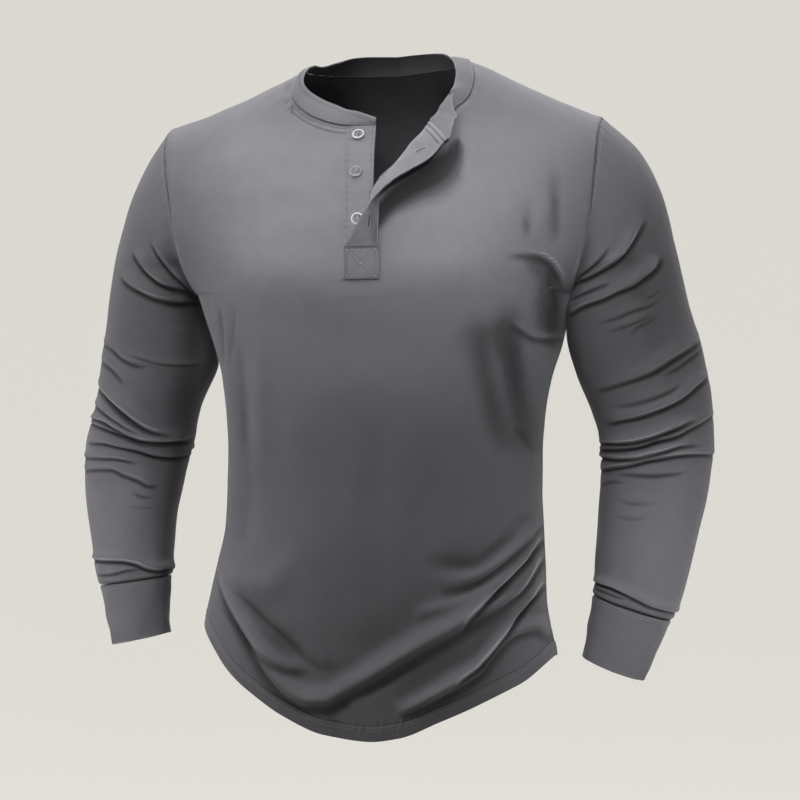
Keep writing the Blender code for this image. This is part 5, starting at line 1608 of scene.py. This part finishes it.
def thread_finish(name, dark, light, sheen):
    """Twisted cotton sewing thread, or with no sheen the shade inside a buttonhole."""
    material, b, shader = blank(name)
    here = b.add("ShaderNodeTexCoord").outputs["Object"]
    twist = b.add("ShaderNodeTexWave", Vector=here, Scale=420.0, Distortion=2.0, Detail=1.0)
    tone = b.mix(twist.outputs["Fac"], dark, light)
    b.put(shader.inputs["Base Color"], tone)
    b.put(shader.inputs["Roughness"], b.span(twist.outputs["Fac"], 0.0, 1.0, 0.62, 0.48))
    settle(shader, Sheen_Weight=sheen, Specular_IOR_Level=sheen + 0.05)
    bump = b.add("ShaderNodeBump", Strength=0.4, Distance=0.0001, Height=twist.outputs["Fac"])
    b.put(shader.inputs["Normal"], bump.outputs[0])
    return material


def horn_finish():
    """Dark grey button stock with cloudy veins, with a pale painted highlight along the rim."""
    material, b, shader = blank("grey_horn")
    here = b.add("ShaderNodeTexCoord").outputs["Object"]
    cloud = b.noise(here, 190.0, 4.0, 0.6)
    veins = b.add("ShaderNodeTexWave", Vector=here, Scale=60.0, Distortion=9.0, Detail=3.0)
    share = b.math("MULTIPLY", b.math("ADD", cloud, veins.outputs["Fac"]), 0.5)
    tone = b.mix(b.span(share, 0.3, 0.7, 0.0, 1.0), *HORN_TONES)
    rim = b.add("ShaderNodeAttribute", attribute_name="painted_light_and_shade").outputs["Fac"]
    b.put(shader.inputs["Base Color"], b.mix(rim, tone, RIM_HIGHLIGHT_TONE))
    b.put(shader.inputs["Roughness"], b.span(cloud, 0.3, 0.7, 0.34, 0.48))
    settle(shader, Specular_IOR_Level=0.45, Coat_Weight=0.15, Coat_Roughness=0.25)
    bump = b.add("ShaderNodeBump", Strength=0.15, Distance=0.0002, Height=cloud)
    b.put(shader.inputs["Normal"], bump.outputs[0])
    return material


def pale_card(name, tone):
    """Matt pale paper for the room around the shirt."""
    material, b, shader = blank(name)
    here = b.add("ShaderNodeTexCoord").outputs["Object"]
    grain = b.noise(here, 40.0, 2.0)
    low, high = (tuple(c * share for c in tone[:3]) + (1.0,) for share in (0.28, 0.3))
    b.put(shader.inputs["Base Color"], b.mix(grain, low, high))
    settle(shader, Roughness=0.95, Emission_Color=tone, Emission_Strength=BACKDROP_GLOW)
    return material


# ---------------------------------------------------------------- camera, room and light

def aim(thing, target):
    """Turns a camera or lamp towards a point."""
    way = Vector(target) - thing.location
    thing.rotation_euler = way.to_track_quat("-Z", "Y").to_euler()


def place_camera():
    """Level camera a little to the wearer's left of the middle."""
    data = bpy.data.cameras.new("camera")
    data.lens = CAMERA_LENS
    data.sensor_width = 36
    data.clip_start = 0.1
    data.clip_end = 60
    camera = in_scene("camera", data)
    turn = math.radians(CAMERA_TURN)
    camera.location = (math.sin(turn) * CAMERA_FAR + math.cos(turn) * CAMERA_ASIDE,
                       -math.cos(turn) * CAMERA_FAR + math.sin(turn) * CAMERA_ASIDE, CAMERA_HEIGHT)
    camera.rotation_euler = (math.radians(90), 0, turn)
    bpy.context.scene.camera = camera


def softbox(name, place, target, size, power, beam):
    """Soft lamp, with its beam in degrees."""
    data = bpy.data.lights.new(name, "AREA")
    data.shape = "RECTANGLE"
    data.size, data.size_y = size
    data.energy = power
    data.spread = math.radians(beam)
    lamp = in_scene(name, data)
    lamp.location = place
    aim(lamp, target)


def build_room():
    """Pale floor that turns up into a pale wall all round, well away from the shirt."""
    wall = lathe([(out, FLOOR + up) for out, up in ROOM_SECTION], 96, MM)
    room = in_scene("pale_room", mesh_of("pale_room", wall, pale_card("pale_card", ROOM_TONE)))
    room.visible_diffuse = False
    room.visible_shadow = False


def light_room():
    """Large soft lamps, strongest from above, in dim air."""
    for name, lamp in LAMPS.items():
        softbox(name, *lamp)
    world = bpy.data.worlds.new("dim_air")
    world.use_nodes = True
    settle(world.node_tree.nodes["Background"], Color=(1.0, 0.99, 0.97, 1.0), Strength=AIR)
    bpy.context.scene.world = world
    bpy.context.scene.view_settings.view_transform = "Standard"


# ---------------------------------------------------------------- putting it together

def build_cloth(cloth):
    """Front, back, sleeves and cuffs with their stitching."""
    made = {}
    front, front_normal, shade = dressed_panel("front")
    made["front"] = cloth_piece("front_jersey", "front", front, front_normal, shade,
                                cloth["jersey"], CLOTH,
                                leave_out=lambda r, c: r >= MIDDLE_ROW and SLIT <= c < NECK_LEFT)
    back, back_normal, shade = dressed_panel("back")
    made["back"] = cloth_piece("back_jersey", "back", back, back_normal, shade, cloth["jersey"], CLOTH)

    hem, neck = [], []
    for points, normal in ((front, front_normal), (back, back_normal)):
        for away in HEM_ROWS:
            hem.append(stitched(*level_line(points, normal, away)))
    beside = (front[MIDDLE_ROW:, NECK_LEFT:], front_normal[MIDDLE_ROW:, NECK_LEFT:])
    for away in NECK_ROWS:
        for line in (level_line(front, front_normal, away, SIDE_COLUMNS, SLIT + 1, True),
                     level_line(back, back_normal, away, SIDE_COLUMNS, NECK_LEFT + 1, True),
                     upright_line(*beside, away)):
            neck.append(stitched(*line, pitch=SHORT_PITCH))
    made["hem_stitching"] = stitching("hem_stitching", hem, cloth["thread"])
    made["neck_stitching"] = stitching("neck_stitching", neck, cloth["thread"])
    shoulder = []
    for first, last in ((0, SIDE_COLUMNS + 1), (NECK_LEFT, None)):
        shoulder.append(stitched(*level_line(back, back_normal, SHOULDER_ROW, first, last, True)))
    made["shoulder_stitching"] = stitching("shoulder_stitching", shoulder, cloth["thread"])

    for side in ("left", "right"):
        sleeve = dressed_sleeve(side, armhole_ring(front, back, side == "left"))
        for part, dressed, finish, thick, rounding, seam, heights in (
                ("sleeve_", sleeve, "jersey", CLOTH, 0.0, "armhole_stitching_", ARMHOLE_ROWS),
                ("cuff_", dressed_cuff(side), "rib", DOUBLED, 0.8 * MM, "cuff_stitching_",
                 CUFF_STITCH_ROWS)):
            made[part + side] = cloth_piece(part + side + "_jersey", part + side, *dressed,
                                            cloth[finish], thick, closed=True, rounding=rounding)
            rows = [stitched(*level_line(*dressed[:2], away), loop=True) for away in heights]
            made[seam + side] = stitching(seam + side, rows, cloth["thread"])
    return made, front, back


def build_neck(cloth, front, back):
    """Neckband, and the upper strip of the placket with its buttonholes; rows of the placket."""
    made = {}
    band, outward, shade, turned = dressed_band(front, back)
    made["neckband"] = cloth_piece("neckband_jersey", "neckband", band, -outward, shade,
                                   cloth["rib"][::-1], BAND_THICK, rounding=0.5 * MM, lit=turned)
    rows = [stitched(*upright_line(band + outward * BAND_THICK, outward, EDGE_ROW), pitch=SHORT_PITCH)]
    flap, face, shade = dressed_flap()
    made["flap"] = cloth_piece("upper_strip_jersey", "placket_buttonhole", flap, face, shade,
                               cloth["rib"], STRIP, rounding=0.4 * MM, lit=np.ones(shade.shape))
    openings = []
    for points, out in ((flap, face), (flap - face * STRIP, -face)):
        for backwards in (False, True):
            line = upright_line(points, out, EDGE_ROW, backwards=backwards)
            rows.append(stitched(*line, pitch=SHORT_PITCH))
        for low in FLAP_END_ROWS:
            rows.append(stitched(*level_line(points, out, low, backwards=True), pitch=SHORT_PITCH))
        for hole in BUTTONHOLES:
            worked, opening = buttonhole(points, out, *hole)
            rows.append(worked)
            openings.append(opening)
    made["buttonhole_openings"] = stitching("buttonhole_openings", openings, cloth["gap"])
    return made, rows


def build_placket(cloth, rows):
    """Lower strip, box with its crossed stitching, and the sewn-on buttons."""
    made = {}
    low, *_, high = UNDER_STRIP["z"]
    heights = np.linspace(low, high, STRIP_ROWS + 1)
    rights = curve(UNDER_STRIP["z"], UNDER_STRIP["right"], heights)
    lefts = curve(UNDER_STRIP["z"], UNDER_STRIP["left"], heights)
    strip = strip_points(heights, rights, lefts, LIFT + STRIP)
    face = grid_normals(strip)
    across, up = distances(strip)
    edge = np.minimum(across, across[:, -1:] - across)
    groove = bell(edge - 2 * MM, 0.8 * MM)
    strip = strip + face * (puckers(up, edge, 61, *STRIP_PUCKERS) - 0.35 * MM * groove)[..., None]
    made["under_strip"] = cloth_piece("lower_strip_jersey", "placket_button", strip, face, -0.6 * groove,
                                      cloth["rib"], STRIP, rounding=0.4 * MM)
    for backwards in (False, True):
        line = upright_line(strip, face, UNDER_STRIP_ROW, backwards=backwards)
        rows.append(stitched(*line, pitch=SHORT_PITCH))

    heights = np.linspace(BOX["low"], BOX["high"], 31)
    box = strip_points(heights, np.full_like(heights, BOX["right"]), np.full_like(heights, BOX["left"]),
                       LIFT + BOX["thick"])
    face = grid_normals(box)
    wide, tall = distances(box)
    margin = np.minimum(np.minimum(wide, wide[:, -1:] - wide), np.minimum(tall, tall[-1:] - tall))
    x, z = box[..., 0], box[..., 2]
    across = (x - BOX["right"]) / (BOX["left"] - BOX["right"])
    rise = (z - BOX["low"]) / (BOX["high"] - BOX["low"])
    cross = np.minimum(np.abs(across - rise), np.abs(across + rise - 1)) * BOX_CROSS
    quilt = -0.5 * MM * bell(margin - BOX_INSET, 0.9 * MM)
    quilt -= 0.5 * MM * bell(cross, 1.2 * MM) * smooth((margin - 2 * MM) / (1.5 * MM))
    box = box + face * quilt[..., None]
    made["box"] = cloth_piece("placket_box_jersey", "placket_box", box, face, quilt / (0.6 * MM),
                              cloth["rib"], BOX["thick"] - 0.4 * MM, rounding=0.5 * MM)
    right, left = BOX["right"] + BOX_INSET, BOX["left"] - BOX_INSET
    low, high = BOX["low"] + BOX_INSET, BOX["high"] - BOX_INSET
    round_box = [(right, low), (left, low), (left, high), (right, high), (right, low)]
    for ends in (*zip(round_box, round_box[1:]), round_box[:3:2], round_box[3:0:-2]):
        rows.append(straight_row(*ends, 24, LIFT + BOX["thick"] - 0.15 * MM, pitch=2.3 * MM,
                                 size=(1.0, 0.4, 0.34)))
    for shift in (0.0, 3.0 * MM):
        foot, top = (OVERLAY_X - shift, BOX["high"] + 1 * MM), (OVERLAY_X - shift - 1 * MM, OVERLAY_TOP)
        rows.append(straight_row(foot, top, 30, OVERLAY_OUT, pitch=SHORT_PITCH))
    made["placket_stitching"] = stitching("placket_stitching", rows, cloth["thread"])
    threads = []
    for name, turn in BUTTON_TURNS.items():
        x, z = BUTTONS[name]
        piece, sewn = four_hole_button(name + "_horn", x, z, turn, RIM_HIGHLIGHT[name], cloth["horn"])
        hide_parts(name)
        threads += sewn
        made[name] = piece
    made["button_threads"] = stitching("button_threads", threads, cloth["thread"])
    return made


place_camera()
build_room()
light_room()
groups = (knit_group(), crumple_group())
finishes = {
    "jersey": (jersey("grey_jersey", *groups, *SINGLE_KNIT),
               jersey("grey_jersey_inside_shaded", *groups, *SINGLE_KNIT, inside=True)),
    "rib": (jersey("grey_jersey_doubled", *groups, *DOUBLED_KNIT),
            jersey("grey_jersey_doubled_inside_shaded", *groups, *DOUBLED_KNIT, inside=True)),
    "thread": thread_finish("sewing_thread", *THREAD_TONES, 0.3),
    "gap": thread_finish("shaded_opening", *SLIT_SHADE_TONES, 0.0),
    "horn": horn_finish(),
}
made, front, back = build_cloth(finishes)
neck, placket_rows = build_neck(finishes, front, back)
made.update(neck)
made.update(build_placket(finishes, placket_rows))
